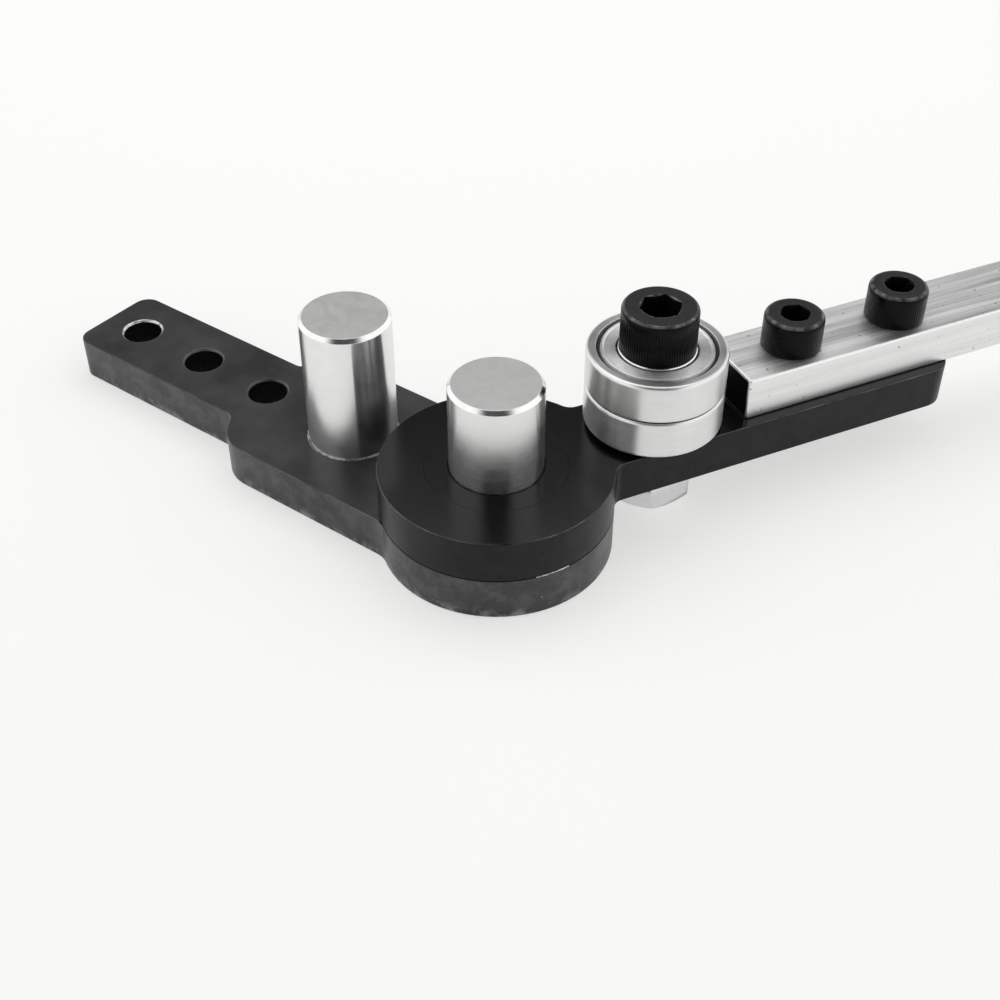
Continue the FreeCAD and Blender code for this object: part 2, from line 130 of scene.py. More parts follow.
class PlateSettings(bpy.types.PropertyGroup):
    """Coats and sizes of both plates and of the bush"""
    lower_coat: colour("Lower plate", "Colour of the lower plate's black coat", "#38383a")
    arm_coat: colour("Arm", "Colour of the swinging arm's black coat", "#0a0c0e")
    rubbed: colour("Rubbed steel", "Colour of the steel where the coat is rubbed off", "#77787a")
    edge_round: length("Edge round", "Radius of the worn edges of both plates", 0.25)
    deck_half_width: length("Deck half width", "Half width of the lower plate's deck", 20.0)
    deck_reach: length("Deck reach", "Where the lower plate's shoulder starts", 61.4)
    shoulder_run: length("Shoulder run", "Length of the shoulder along the plate", 5.4)
    shoulder_round: length("Shoulder round", "Outer radius of the shoulder", 10.0)
    shoulder_blend: length("Shoulder blend", "Inner radius of the shoulder", 3.0)
    tail_half_width: length("Tail half width", "Half width of the lower plate's tail", 11.75)
    tail_corner: length("Tail corner", "Corner radius of the tail's end", 3.8)
    base_hub_blend: length("Base hub blend", "Radius where the deck meets the hub", 6.0)
    hole_radius: length("Bench hole radius", "Radius of the three bench holes", 4.5)
    hole_start: length("Bench hole start", "First bench hole from the pivot", 66.5)
    hole_pitch: length("Bench hole pitch", "Distance between bench holes", 21.0)
    hole_bevel: length("Bench hole bevel", "Bevel at the rims of the bench holes", 0.5)
    seat_bevel: length("Pin seat bevel", "Bevel at the rims of the pin seats", 0.4)
    bare_from: turn("Bare edge from", "Where the hub's upper edge starts to be bare steel", -35)
    bare_to: turn("Bare edge to", "Where the hub's upper edge stops being bare steel", -17)
    arm_half_width: length("Arm half width", "Half width of the swinging arm", 11.1)
    arm_reach: length("Arm reach", "Distance from the pivot to the arm's end", 110.0)
    arm_blend: length("Arm blend", "Radius where the arm meets its hub", 3.0)
    arm_corner: length("Arm corner", "Corner radius of the arm's end", 6.0)
    tap_bevel: length("Tapped hole bevel", "Bevel at the rims of the arm's holes", 0.06)
    bush_play: length("Bush play", "Gap between the bush and the pivot pin", 0.05)
    bush_bevel: length("Bush bevel", "Round at the bush's bore", 0.3)


class LeverSettings(bpy.types.PropertyGroup):
    """Steel and sizes of the lever bar"""
    steel: colour("Bar", "Colour of the drawn bar's sides", "#f2f2f1")
    skin: colour("Bar top", "Colour of the bar's duller upper face", "#efefee")
    start: length("Start", "Distance from the pivot to the bar's near end", 55.3)
    reach: length("Length", "Length of the bar", 300.0)
    half_width: length("Half width", "Half width of the bar", 8.75)
    edge_round: length("Edge round", "Radius of the bar's long edges", 0.5)
    corner_round: length("Corner round", "Radius of the bar's upright edges", 0.65)


class PinSettings(bpy.types.PropertyGroup):
    """Steel and bevels of both pins"""
    side: colour("Side", "Colour of the ground side of the pins", "#f4f4f3")
    top: colour("Top", "Colour of the lapped top of the pins", "#c9c9c8")
    top_bevel: length("Top bevel", "Bevel round the top of each pin", 0.8)
    foot_bevel: length("Foot bevel", "Bevel round the foot of each pin", 0.5)
    edge_round: length("Edge round", "Softening of the bevel's edges", 0.12)


class ScrewSettings(bpy.types.PropertyGroup):
    """Finishes and sizes of the cap screws, the nut and the washer"""
    oxide: colour("Screws", "Colour of the black oxide on the screws", "#060607")
    # Painted light: the screw tops get this lighter grey because they face the light
    painted_top_light: colour("Screw tops", "Colour of the handled tops of the screws", "#262627")
    rubbed: colour("Rubbed oxide", "Colour of the screws' rubbed edges", "#9a9a9b")
    # Painted shade: this near-black colour paints the shade in sockets, holes, seams and undersides
    oil: colour("Socket", "Colour of the oiled inside of the sockets", "#050505")
    zinc: colour("Nut", "Colour of the zinc on the nut and the washer", "#eaebec")
    roller_round: length("Roller head round", "Round of the roller screw's upper edge", 1.0)
    lever_round: length("Lever head round", "Round of the lever screws' upper edge", 1.3)
    foot_round: length("Foot round", "Round at the underside of the heads", 0.3)
    roller_knurl: length("Roller knurl depth", "Depth of the knurling on the roller screw", 0.18)
    lever_knurl: length("Lever knurl depth", "Depth of the worn knurling on the lever screws", 0.05)
    knurl_pitch: length("Knurl pitch", "Distance between two knurl ridges", 0.62)
    roller_flats: length("Roller hexagon", "Width over flats of the roller screw's socket", 8.0)
    lever_flats: length("Lever hexagon", "Width over flats of the lever screws' sockets", 6.0)
    roller_turn: turn("Roller socket turn", "Direction of a corner of the socket", 49)
    front_turn: turn("Front socket turn", "Direction of a corner of the socket", 45)
    rear_turn: turn("Rear socket turn", "Direction of a corner of the socket", 24)
    mouth_bevel: length("Socket mouth", "Bevel at the middle of each side of the socket", 0.35)
    tip_bevel: length("Tip bevel", "Bevel at the end of the shank", 0.9)
    roller_shank: length("Roller shank", "Radius of the roller screw's shank", 4.95)
    lever_shank: length("Lever shank", "Radius of the lever screws' shanks", 4.0)
    nut_flats: length("Nut hexagon", "Width over flats of the nut", 17.0)
    nut_turn: turn("Nut turn", "Direction of a corner of the nut", 68)
    nut_bevel: turn("Nut bevel", "Slope of the nut's rounded corners", 30)
    thread_bevel: length("Thread bevel", "Bevel at the nut's thread", 0.3)
    shim_bore: length("Washer bore", "Radius of the washer's hole", 5.25)
    shim_round: length("Washer round", "Round of the washer's edges", 0.12)


class BearingSettings(bpy.types.PropertyGroup):
    """Steel and sizes of both ball bearings"""
    side: colour("Ring side", "Colour of the outer ring's ground side", "#ebebea")
    face: colour("Ring face", "Colour of the rings' honed faces", "#d8d8d7")
    sheet: colour("Shield", "Colour of the pressed shields", "#fafaf9")
    # Painted shade: the shields' rims down in the seats get this dark colour
    grease: colour("Grease", "Colour of the old grease in the shields' seats", "#1a1918")
    outer_round: length("Outer round", "Rounded corners of the outer race", 0.8)
    # Painted shade: the rounded faces this far above and below the seam between the rings are painted
    # dark
    seam_reach: length("Seam reach", "How far the dirt in the rings' seam reaches up and down", 0.22)
    edge_round: length("Edge round", "Softening of the bevel's edges", 0.12)
    recess_radius: length("Recess radius", "Radius of the shield's seat", 12.9)
    shoulder_radius: length("Shoulder radius", "Inner radius of the outer race", 12.2)
    rim_radius: length("Shield rim radius", "Where the shield's web turns down", 11.9)
    gap_radius: length("Gap radius", "Inner radius of the shield", 8.8)
    inner_radius: length("Inner race radius", "Outer radius of the inner race", 8.35)
    inner_round: length("Inner race round", "Round of the inner race's edges", 0.3)
    inner_proud: length("Inner race proud", "How far the inner race stands out of the outer", 0.05)
    bore_radius: length("Bore radius", "Radius of the bearing's bore", 5.0)
    sheet_thickness: length("Shield thickness", "Sheet thickness of the shields", 0.35)
    web_depth: length("Shield web depth", "Depth of the shield's web under the face", 0.25)
    rim_depth: length("Shield rim depth", "Depth of the shield's rim under the face", 0.9)
    bead_height: length("Shield bead height", "Height of the bead round the shield's web", 0.2)
    bead_width: length("Shield bead width", "Width of the bead round the shield's web", 0.7)


class StudioSettings(bpy.types.PropertyGroup):
    """Camera, backdrop and lights"""
    board: colour("Backdrop", "Colour of the backdrop board", "#bababa")
    azimuth: turn("Camera azimuth", "Direction that the camera looks from", 36.502)
    elevation: turn("Camera elevation", "Height of the camera over the horizon", 40.402)
    distance: length("Camera distance", "From the camera to its target", 310.767)
    target_x: length("Target X", "Point that the camera looks at", 2.769)
    target_y: length("Target Y", "Point that the camera looks at", -2.470)
    target_z: length("Target Z", "Point that the camera looks at", 13.275)
    lens: amount("Focal length", "Focal length in millimetres on a 36 mm sensor", 53.342,
                 unit="CAMERA")
    board_glow: amount("Backdrop glow", "How far the seen board is lifted towards white", 0.57,
                       subtype="FACTOR", min=0.0, max=1.0)
    mirror_share: amount("Mirrored glow", "Share of the backdrop glow that surfaces mirror", 0.85,
                         subtype="FACTOR", min=0.0, max=1.0)
    tent: amount("Light tent", "Brightness of the tent's white walls", 1.1)
    gap: amount("Tent opening", "Brightness before and behind the tent", 0.07)
    lamp: amount("Lamp", "Power of the overhead lamp in watts", 3.2, unit="POWER")
    lamp_height: turn("Lamp height", "Height of the lamp over the horizon, behind the tool", 66)


# Shader nodes

def add_node(tree_owner, kind, inputs=None, out=0, **settings):
    """Add a shader node and return one of its outputs, by number or by name.

    inputs maps a socket's number or name to a value or to another node's output, and settings
    are attributes of the node. Only sockets in use count.
    """
    tree = tree_owner.node_tree
    made = tree.nodes.new(kind)
    for key, value in settings.items():
        setattr(made, key, value)
    live = [socket for socket in made.inputs if socket.enabled]
    for key, value in (inputs or {}).items():
        target = live[key] if isinstance(key, int) else next(s for s in live if s.name == key)
        if isinstance(value, bpy.types.NodeSocket):
            tree.links.new(value, target)
        else:
            target.default_value = value
    given = [socket for socket in made.outputs if socket.enabled]
    if isinstance(out, str):
        return next(s for s in given if s.name == out)
    return given[out] if given else None


def new_material(name):
    """Start an empty node material, and give it with its object coordinates."""
    material = bpy.data.materials.new(name)
    material.use_nodes = True
    material.node_tree.nodes.clear()
    return material, add_node(material, "ShaderNodeTexCoord", out="Object")


def finish(m, inputs):
    """Close a material with one principled shader."""
    shader = add_node(m, "ShaderNodeBsdfPrincipled", inputs)
    add_node(m, "ShaderNodeOutputMaterial", {"Surface": shader})
    return m


def between(m, pattern, limits):
    """A value that runs from one limit to the other with a noise pattern."""
    low, high = limits
    return add_node(m, "ShaderNodeMapRange", {
        "Value": pattern, "From Min": NOISE_LOW, "From Max": NOISE_HIGH, "To Min": low, "To Max": high})


def shaded(m, base, pattern, spread):
    """A colour that a noise pattern makes darker and lighter by up to the spread."""
    factor = between(m, pattern, (1 - spread, 1 + spread))
    return add_node(m, "ShaderNodeMix", {"Factor": 1.0, "A": base, "B": factor},
                    data_type="RGBA", blend_type="MULTIPLY")


def lean_of(m):
    """How far a surface leans: 0 if upright, 1 if flat and facing up, -1 if facing down."""
    normal = add_node(m, "ShaderNodeTexCoord", out="Normal")
    return add_node(m, "ShaderNodeSeparateXYZ", {0: normal}, out="Z")


def rubbed_edges(m, place, patch, bare, leans):
    """Mask of the upper edges, where hands and stock rub.

    It is 1 where the surface's lean lies between two values, and noise in patches of the given
    size leaves about the share called bare of it.
    """
    margin, softness, flat = 0.12, 0.25, 0.99
    low, high = leans
    lean = lean_of(m)
    rise = add_node(m, "ShaderNodeMapRange", {
        "Value": lean, "From Min": low - margin, "From Max": low + margin})
    fall = add_node(m, "ShaderNodeMapRange", {
        "Value": lean, "From Min": high, "From Max": flat, "To Min": 1.0, "To Max": 0.0})
    edge = add_node(m, "ShaderNodeMath", {0: rise, 1: fall}, operation="MULTIPLY")
    noise = add_node(m, "ShaderNodeTexNoise", {"Vector": place, "Scale": 1 / patch, "Detail": 4.0})
    left = add_node(m, "ShaderNodeMapRange", {
        "Value": noise, "From Min": 1 - bare - softness, "From Max": 1 - bare + softness})
    return add_node(m, "ShaderNodeMath", {0: edge, 1: left}, operation="MULTIPLY")


def dust_specks(m, place, spacing, size, share):
    """Mask of small pale specks: the nearest of scattered points, where its own chance allows."""
    spots = {"Vector": place, "Scale": 1 / spacing}
    near = add_node(m, "ShaderNodeTexVoronoi", spots, out="Distance")
    chance = add_node(m, "ShaderNodeTexVoronoi", spots, out="Color")
    dot = add_node(m, "ShaderNodeMath", {0: near, 1: size / spacing}, operation="LESS_THAN")
    kept = add_node(m, "ShaderNodeMath", {0: chance, 1: share}, operation="LESS_THAN")
    return add_node(m, "ShaderNodeMath", {0: dot, 1: kept}, operation="MULTIPLY")


def bench_scuffs(m, place, left_above):
    """Mask of scuffs on the upright faces: patches of fine marks, densest next to the bench.

    Above the height that the bench reaches, only the given share of them is left.
    """
    scuff_size, scuff_height = 5 * MM, 2.4 * MM
    upright_to, level_from = 0.1, 0.5
    clear_to, dense_from, densest = 0.45, 0.58, 0.7
    height = add_node(m, "ShaderNodeSeparateXYZ", {0: place}, out="Z")
    low = add_node(m, "ShaderNodeMapRange", {
        "Value": height, "From Min": 0.0, "From Max": scuff_height, "To Min": 1.0, "To Max": left_above})
    upright = add_node(m, "ShaderNodeMapRange", {
        "Value": lean_of(m), "From Min": upright_to, "From Max": level_from,
        "To Min": 1.0, "To Max": 0.0})
    marks = add_node(m, "ShaderNodeTexNoise", {
        "Vector": place, "Scale": 1 / scuff_size, "Detail": 8.0, "Roughness": 0.7})
    patches = add_node(m, "ShaderNodeMapRange", {
        "Value": marks, "From Min": clear_to, "From Max": dense_from, "To Max": densest})
    where = add_node(m, "ShaderNodeMath", {0: low, 1: upright}, operation="MULTIPLY")
    return add_node(m, "ShaderNodeMath", {0: where, 1: patches}, operation="MULTIPLY")


def blackened_steel(name, coat, spread, specular, bare, scuffed, rough):
    """Steel plate with a thin black coat.

    The coat follows the fine grain of the rolled plate, so that reflections break up into
    speckles, cloudy marks show where it dried, and thin bare lines run along the upper edges.
    The bench scuffs the lower edges in patches, and a few specks of dust lie on the coat. The
    real grain is finer, and is drawn as coarse as it needs to show.
    """
    grain_size, cloud_size, patch_size, grain_depth = 0.35 * MM, 12 * MM, 6 * MM, 0.003 * MM
    speck_spacing, speck_size, speck_share, cloud_share = 7 * MM, 0.16 * MM, 0.35, 0.9
    scuff, dust = linear("#b4b4b4"), linear("#a8a8a8")
    rubbed = bpy.context.scene.bender_plates.rubbed
    m, place = new_material(name)
    grain = add_node(m, "ShaderNodeTexNoise", {"Vector": place, "Scale": 1 / grain_size, "Detail": 3.0})
    cloud = add_node(m, "ShaderNodeTexNoise", {"Vector": place, "Scale": 1 / cloud_size, "Detail": 4.0})
    both = add_node(m, "ShaderNodeMix", {"Factor": cloud_share, "A": grain, "B": cloud},
                    data_type="FLOAT")
    scuffs = bench_scuffs(m, place, scuffed)
    worn = add_node(m, "ShaderNodeMix", {
        "Factor": scuffs, "A": shaded(m, coat, both, spread), "B": scuff}, data_type="RGBA")
    edges = rubbed_edges(m, place, patch_size, bare, leans=(0.3, 0.85))
    bright = add_node(m, "ShaderNodeMix", {"Factor": edges, "A": worn, "B": rubbed}, data_type="RGBA")
    specks = dust_specks(m, place, speck_spacing, speck_size, speck_share)
    skin = add_node(m, "ShaderNodeMix", {"Factor": specks, "A": bright, "B": dust}, data_type="RGBA")
    bump = add_node(m, "ShaderNodeBump", {"Strength": 1.0, "Distance": grain_depth, "Height": grain})
    return finish(m, {
        "Base Color": skin, "Metallic": edges, "Roughness": between(m, grain, rough),
        "Specular IOR Level": specular, "Normal": bump})


def blackened_lower_plate():
    """The lower plate: laser cut, tumbled and blackened, a charcoal satin."""
    coat = bpy.context.scene.bender_plates.lower_coat
    return blackened_steel("blackened_lower_plate", coat, spread=0.45, specular=0.45, bare=0.4,
                           scuffed=0.16, rough=(0.31, 0.34))


def blackened_arm_side():
    """The arm's cut edges: the same coat, thicker and nearly black."""
    coat = bpy.context.scene.bender_plates.arm_coat
    return blackened_steel("blackened_arm_side", coat, spread=0.25, specular=0.24, bare=0.45,
                           scuffed=0.02, rough=(0.31, 0.34))


def blackened_arm_face():
    """The arm's rolled faces and its bush: glossier, so that the pins mirror in them."""
    coat = bpy.context.scene.bender_plates.arm_coat
    return blackened_steel("blackened_arm_face", coat, spread=0.25, specular=0.34, bare=0.6,
                           scuffed=0.0, rough=(0.19, 0.27))


def turned_steel(name, base, spread, ring, mark, rough, smear):
    """Bright steel cut in the lathe, whose fine rings smear reflections across themselves.

    Rings of noise and faint marks of the given sizes vary the colour and the roughness. Real
    rings are finer than a pixel, so they are drawn as coarse as they need to show.
    """
    squeeze, mark_share, quarter_turn = 0.04, 0.6, 0.25
    m, place = new_material(name)
    rings = add_node(m, "ShaderNodeMapping", {"Vector": place, "Scale": (squeeze, squeeze, 1)})
    fine = add_node(m, "ShaderNodeTexNoise", {"Vector": rings, "Scale": 1 / ring, "Detail": 2.0})
    marks = add_node(m, "ShaderNodeTexNoise", {"Vector": place, "Scale": 1 / mark, "Detail": 5.0})
    both = add_node(m, "ShaderNodeMix", {"Factor": mark_share, "A": fine, "B": marks},
                    data_type="FLOAT")
    tangent = add_node(m, "ShaderNodeTangent", direction_type="RADIAL", axis="Z")
    return finish(m, {
        "Base Color": shaded(m, base, both, spread), "Metallic": 1.0,
        "Roughness": between(m, both, rough), "Anisotropic": smear,
        "Anisotropic Rotation": quarter_turn, "Tangent": tangent})


def ground_pin_side():
    """Steel pin ground between centres: a mirror that is smeared along the axis."""
    s = bpy.context.scene.bender_pins
    return turned_steel("ground_pin_side", s.side, spread=0.03, ring=0.6 * MM, mark=3 * MM,
                        rough=(0.17, 0.19), smear=1.0)


def lapped_pin_top():
    """Top of a pin, faced and lapped: an even matt grey with a few faint marks.

    The grain is drawn as coarse as it needs to show.
    """
    s = bpy.context.scene.bender_pins
    grain_size, mark_size, mark_share = 0.25 * MM, 5 * MM, 0.7
    m, place = new_material("lapped_pin_top")
    grain = add_node(m, "ShaderNodeTexNoise", {"Vector": place, "Scale": 1 / grain_size, "Detail": 2.0})
    marks = add_node(m, "ShaderNodeTexNoise", {
        "Vector": place, "Scale": 1 / mark_size, "Detail": 6.0, "Distortion": 1.5})
    both = add_node(m, "ShaderNodeMix", {"Factor": mark_share, "A": grain, "B": marks},
                    data_type="FLOAT")
    return finish(m, {
        "Base Color": shaded(m, s.top, both, spread=0.07), "Metallic": 1.0,
        "Roughness": between(m, both, (0.5, 0.62))})


def mottled(name, base, spread, patch, rough, detail=3.0, crisp=0.5, metal=1.0, specular=0.5):
    """A surface of metal, or of dull paint for painted shade, uneven in colour and shine, in patches of
    the given size.

    Crisp patches have more of the fine detail in them.
    """
    m, place = new_material(name)
    patches = add_node(m, "ShaderNodeTexNoise", {
        "Vector": place, "Scale": 1 / patch, "Detail": detail, "Roughness": crisp})
    return finish(m, {
        "Base Color": shaded(m, base, patches, spread), "Metallic": metal,
        "Roughness": between(m, patches, rough), "Specular IOR Level": specular})


def turned_bevel():
    """Bevels of the pins and rounded edges of the inner rings: small clean mirrors."""
    steel = bpy.context.scene.bender_pins.side
    return mottled("turned_bevel", steel, spread=0.05, patch=2 * MM, rough=(0.14, 0.2))


def worn_seat_rim():
    """Worn rims of the lower plate: bare cut steel with dark pits where dirt sits."""
    steel = bpy.context.scene.bender_pins.top
    return mottled("worn_seat_rim", steel, spread=0.7, patch=1.2 * MM, rough=(0.3, 0.5),
                   detail=5.0, crisp=0.7)


def ground_race_side():
    """Hardened bearing steel, ground round: bright satin, smeared along the axis."""
    s = bpy.context.scene.bender_bearings
    return turned_steel("ground_race_side", s.side, spread=0.05, ring=0.4 * MM, mark=4 * MM,
                        rough=(0.33, 0.37), smear=0.7)


def honed_race_face():
    """Honed faces of the bearing rings: a finer, greyer satin with a bow tie of light."""
    s = bpy.context.scene.bender_bearings
    return turned_steel("honed_race_face", s.face, spread=0.05, ring=0.3 * MM, mark=4 * MM,
                        rough=(0.3, 0.36), smear=0.5)


def pressed_shield():
    """Bright rolled sheet, pressed to a ring: pale, with a clear bow tie and faint stains."""
    s = bpy.context.scene.bender_bearings
    return turned_steel("pressed_shield", s.sheet, spread=0.08, ring=0.5 * MM, mark=1.2 * MM,
                        rough=(0.38, 0.44), smear=0.9)


def greased_seat():
    """The shields' rims down in the rings' seats: painted shade, dark and dull, for the shade in the
    groove.
    """
    grease = bpy.context.scene.bender_bearings.grease
    return mottled("greased_seat", grease, spread=0.5, patch=0.8 * MM, rough=(0.4, 0.6),
                   metal=0.0, specular=0.4)


def black_oxide(name, base, spread, specular, rough, grain_depth):
    """Alloy steel with black oxide: dark oily satin, bare steel on the rubbed edges.

    The oxide's grain is drawn as coarse as it needs to show.
    """
    rubbed = bpy.context.scene.bender_screws.rubbed
    grain_size, patch_size, bare, leans = 0.3 * MM, 2 * MM, 0.36, (0.6, 0.93)
    m, place = new_material(name)
    grain = add_node(m, "ShaderNodeTexNoise", {"Vector": place, "Scale": 1 / grain_size, "Detail": 4.0})
    edges = rubbed_edges(m, place, patch_size, bare, leans)
    skin = add_node(m, "ShaderNodeMix", {
        "Factor": edges, "A": shaded(m, base, grain, spread), "B": rubbed}, data_type="RGBA")
    bump = add_node(m, "ShaderNodeBump", {"Strength": 1.0, "Distance": grain_depth, "Height": grain})
    return finish(m, {
        "Base Color": skin, "Metallic": edges, "Roughness": between(m, grain, rough),
        "Specular IOR Level": specular, "Normal": bump})


def black_oxide_side():
    """Knurled sides of the screw heads: oily and nearly black."""
    oxide = bpy.context.scene.bender_screws.oxide
    return black_oxide("black_oxide_side", oxide, spread=0.2, specular=0.12, rough=(0.24, 0.32),
                       grain_depth=0.0)


def black_oxide_top():
    """Tops of the screw heads: a lighter mottled grey copy of the oxide, painted light on the faces
    turned up.
    """
    painted_top_light = bpy.context.scene.bender_screws.painted_top_light
    return black_oxide("black_oxide_top", painted_top_light, spread=0.5, specular=0.26, rough=(0.35, 0.5),
                       grain_depth=0.008 * MM)


def oiled_socket():
    """Painted shade: near-black dull paint where shade falls, in sockets, holes, seams and undersides."""
    oil = bpy.context.scene.bender_screws.oil
    return mottled("oiled_socket", oil, spread=0.4, patch=0.9 * MM, rough=(0.5, 0.7),
                   detail=2.0, metal=0.0, specular=0.15)


def drawn_steel(name, base, spread, rough):
    """Bright drawn bar: lengthwise draw lines in broad grey bands, and a few small pits.

    The draw lines are drawn as coarse as they need to show.
    """
    line_size, band_size, pit_size, stretch = 0.5 * MM, 3 * MM, 1.1 * MM, 0.025
    pit_floor, pit_rim, pit_shade, band_share = 0.27, 0.33, 0.25, 0.6
    m, place = new_material(name)
    along = add_node(m, "ShaderNodeMapping", {"Vector": place, "Rotation": (0, 0, -ARM_TURN)})
    drawn = add_node(m, "ShaderNodeMapping", {"Vector": along, "Scale": (stretch, 1, 1)})
    lines = add_node(m, "ShaderNodeTexNoise", {"Vector": drawn, "Scale": 1 / line_size, "Detail": 3.0})
    bands = add_node(m, "ShaderNodeTexNoise", {"Vector": drawn, "Scale": 1 / band_size, "Detail": 3.0})
    both = add_node(m, "ShaderNodeMix", {"Factor": band_share, "A": lines, "B": bands},
                    data_type="FLOAT")
    pits = add_node(m, "ShaderNodeTexNoise", {"Vector": along, "Scale": 1 / pit_size, "Detail": 4.0})
    pitted = add_node(m, "ShaderNodeMapRange", {
        "Value": pits, "From Min": pit_floor, "From Max": pit_rim, "To Min": pit_shade, "To Max": 1.0})
    worn = add_node(m, "ShaderNodeMix", {
        "Factor": 1.0, "A": shaded(m, base, both, spread), "B": pitted},
        data_type="RGBA", blend_type="MULTIPLY")
    return finish(m, {
        "Base Color": worn, "Metallic": 1.0, "Roughness": between(m, both, rough)})


def drawn_bar_side():
    """Sides of the lever bar: bright and nearly even."""
    steel = bpy.context.scene.bender_lever.steel
    return drawn_steel("drawn_bar_side", steel, spread=0.08, rough=(0.3, 0.4))


def drawn_bar_top():
    """Top of the lever bar: duller, with clear streaks along it."""
    skin = bpy.context.scene.bender_lever.skin
    return drawn_steel("drawn_bar_top", skin, spread=0.22, rough=(0.34, 0.5))


def sawn_bar_end():
    """Both ends of the lever bar: painted shade, in the arm's near-black coat."""
    coat = bpy.context.scene.bender_plates.arm_coat
    return blackened_steel("sawn_bar_end", coat, spread=0.25, specular=0.12, bare=0.6,
                           scuffed=0.0, rough=(0.3, 0.4))


def zinc_plate():
    """Zinc plated steel: pale even satin."""
    zinc = bpy.context.scene.bender_screws.zinc
    return mottled("zinc_plated_steel", zinc, spread=0.03, patch=0.6 * MM, rough=(0.14, 0.16))


MAKERS = {
    "lower_plate": blackened_lower_plate, "arm_side": blackened_arm_side,
    "arm_face": blackened_arm_face, "pin": ground_pin_side, "pin_top": lapped_pin_top,
    "bevel": turned_bevel, "worn_seat": worn_seat_rim, "oxide": black_oxide_side,
    "oxide_top": black_oxide_top, "socket": oiled_socket, "bar_end": sawn_bar_end,
    "race": ground_race_side, "race_face": honed_race_face, "shield": pressed_shield,
    "seat": greased_seat, "bar": drawn_bar_side, "bar_top": drawn_bar_top, "zinc": zinc_plate,
}
MADE = {}


def material_of(kind):
    """Make each material once."""
    if kind not in MADE:
        MADE[kind] = MAKERS[kind]()
    return MADE[kind]


# Surfaces

def soften(corners, radii, steps, closed=True, hold=0.0):
    """Replace each corner of a line by an arc that touches both of its sides.

    The arc's centre lies on the bisector at radius / sin(half of the inner angle) from the
    corner, and its points turn evenly from one touching point to the other. With hold, one more
    point at that distance before and after each arc keeps the flats beside it flat.
    """
    corners = np.asarray(corners, float)
    radii = np.broadcast_to(np.asarray(radii, float), len(corners))
    back = np.roll(corners, 1, axis=0) - corners
    ahead = np.roll(corners, -1, axis=0) - corners
    back /= np.linalg.norm(back, axis=1, keepdims=True)
    ahead /= np.linalg.norm(ahead, axis=1, keepdims=True)
    half = np.arccos(np.clip((back * ahead).sum(axis=1), -1, 1)) / 2
    reach = radii / np.tan(half)
    inward = back + ahead
    inward /= np.linalg.norm(inward, axis=1, keepdims=True)
    centre = corners + inward * (radii / np.sin(half))[:, None]
    first = corners + back * reach[:, None] - centre
    last = corners + ahead * reach[:, None] - centre
    sweep = (np.pi - 2 * half)[:, None]
    share = np.linspace(0, 1, steps + 1)[None, :]
    from_first = (np.sin((1 - share) * sweep) / np.sin(sweep))[..., None]
    from_last = (np.sin(share * sweep) / np.sin(sweep))[..., None]
    arcs = centre[:, None] + from_first * first[:, None] + from_last * last[:, None]
    if hold:
        before = corners + back * (reach + hold)[:, None]
        after = corners + ahead * (reach + hold)[:, None]
        arcs = np.concatenate([before[:, None], arcs, after[:, None]], axis=1)
    rows = list(arcs)
    if not closed:
        rows[0] = corners[:1]
        rows[-1] = corners[-1:]
    line = np.concatenate(rows)
    step = np.linalg.norm(np.diff(line, axis=0), axis=1)
    return line[np.concatenate([[True], step > TINY])]


def grid_faces(rows, columns, wrap_rows):
    """Quads of a grid of rows along a profile and of columns that close round an axis."""
    i, j = np.meshgrid(np.arange(rows if wrap_rows else rows - 1), np.arange(columns), indexing="ij")
    up = (i + 1) % rows
    on = (j + 1) % columns
    quads = np.stack([i * columns + j, i * columns + on, up * columns + on, up * columns + j], axis=-1)
    return quads.reshape(-1, 4)


def by_slope(centres, normals):
    """Choose a finish: 0 for upright faces, 1 for level ones, 2 for what lies between."""
    rise = np.abs(normals[:, 2])
    return np.where(rise > LEVEL_FACE, 1, np.where(rise > UPRIGHT_FACE, 2, 0))


def dress(piece, finishes, body, nodes, choose):
    """Link a piece, smooth it, give each face its finish and tie the piece to the frame."""
    mesh = piece.data
    bpy.context.scene.collection.objects.link(piece)
    mesh.polygons.foreach_set("use_smooth", np.ones(len(mesh.polygons), bool))
    mesh.set_sharp_from_angle(angle=SMOOTH_LIMIT)
    for finish_name in finishes:
        mesh.materials.append(material_of(finish_name))
    if len(finishes) > 1:
        centres = np.empty((len(mesh.polygons), 3))
        normals = np.empty((len(mesh.polygons), 3))
        mesh.polygons.foreach_get("center", centres.ravel())
        mesh.polygons.foreach_get("normal", normals.ravel())
        mesh.polygons.foreach_set("material_index", choose(centres, normals).astype(np.int32))
    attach(piece, body)
    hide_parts(*nodes)


def polar_piece(name, rows, centre, angle, closed, finishes, body, nodes, choose=by_slope):
    """Set rows of (radius, height) round an upright axis: x = r cos a, y = r sin a.

    A radius or height is one number, or one for each angle. A closed piece runs round a bore,
    an open one from pole to pole.
    """
    flat = np.ones(len(angle))
    radius = np.stack([r * flat for r, _ in rows])
    height = np.stack([z * flat for _, z in rows])
    points = np.stack([
        centre[0] + radius * np.cos(angle), centre[1] + radius * np.sin(angle), height], axis=-1)
    mesh = bpy.data.meshes.new(name)
    mesh.from_pydata(points.reshape(-1, 3), [], grid_faces(len(rows), len(angle), closed).tolist())
    work = bmesh.new()
    work.from_mesh(mesh)
    bmesh.ops.remove_doubles(work, verts=work.verts, dist=WELD)
    bmesh.ops.dissolve_degenerate(work, edges=work.edges, dist=TINY)
    work.to_mesh(mesh)
    work.free()
    dress(bpy.data.objects.new(name, mesh), finishes, body, nodes, choose)


def full_circle(steps=192, start=0.0):
    """Even angles round a circle."""
    return start + np.linspace(0, 2 * np.pi, steps, endpoint=False)


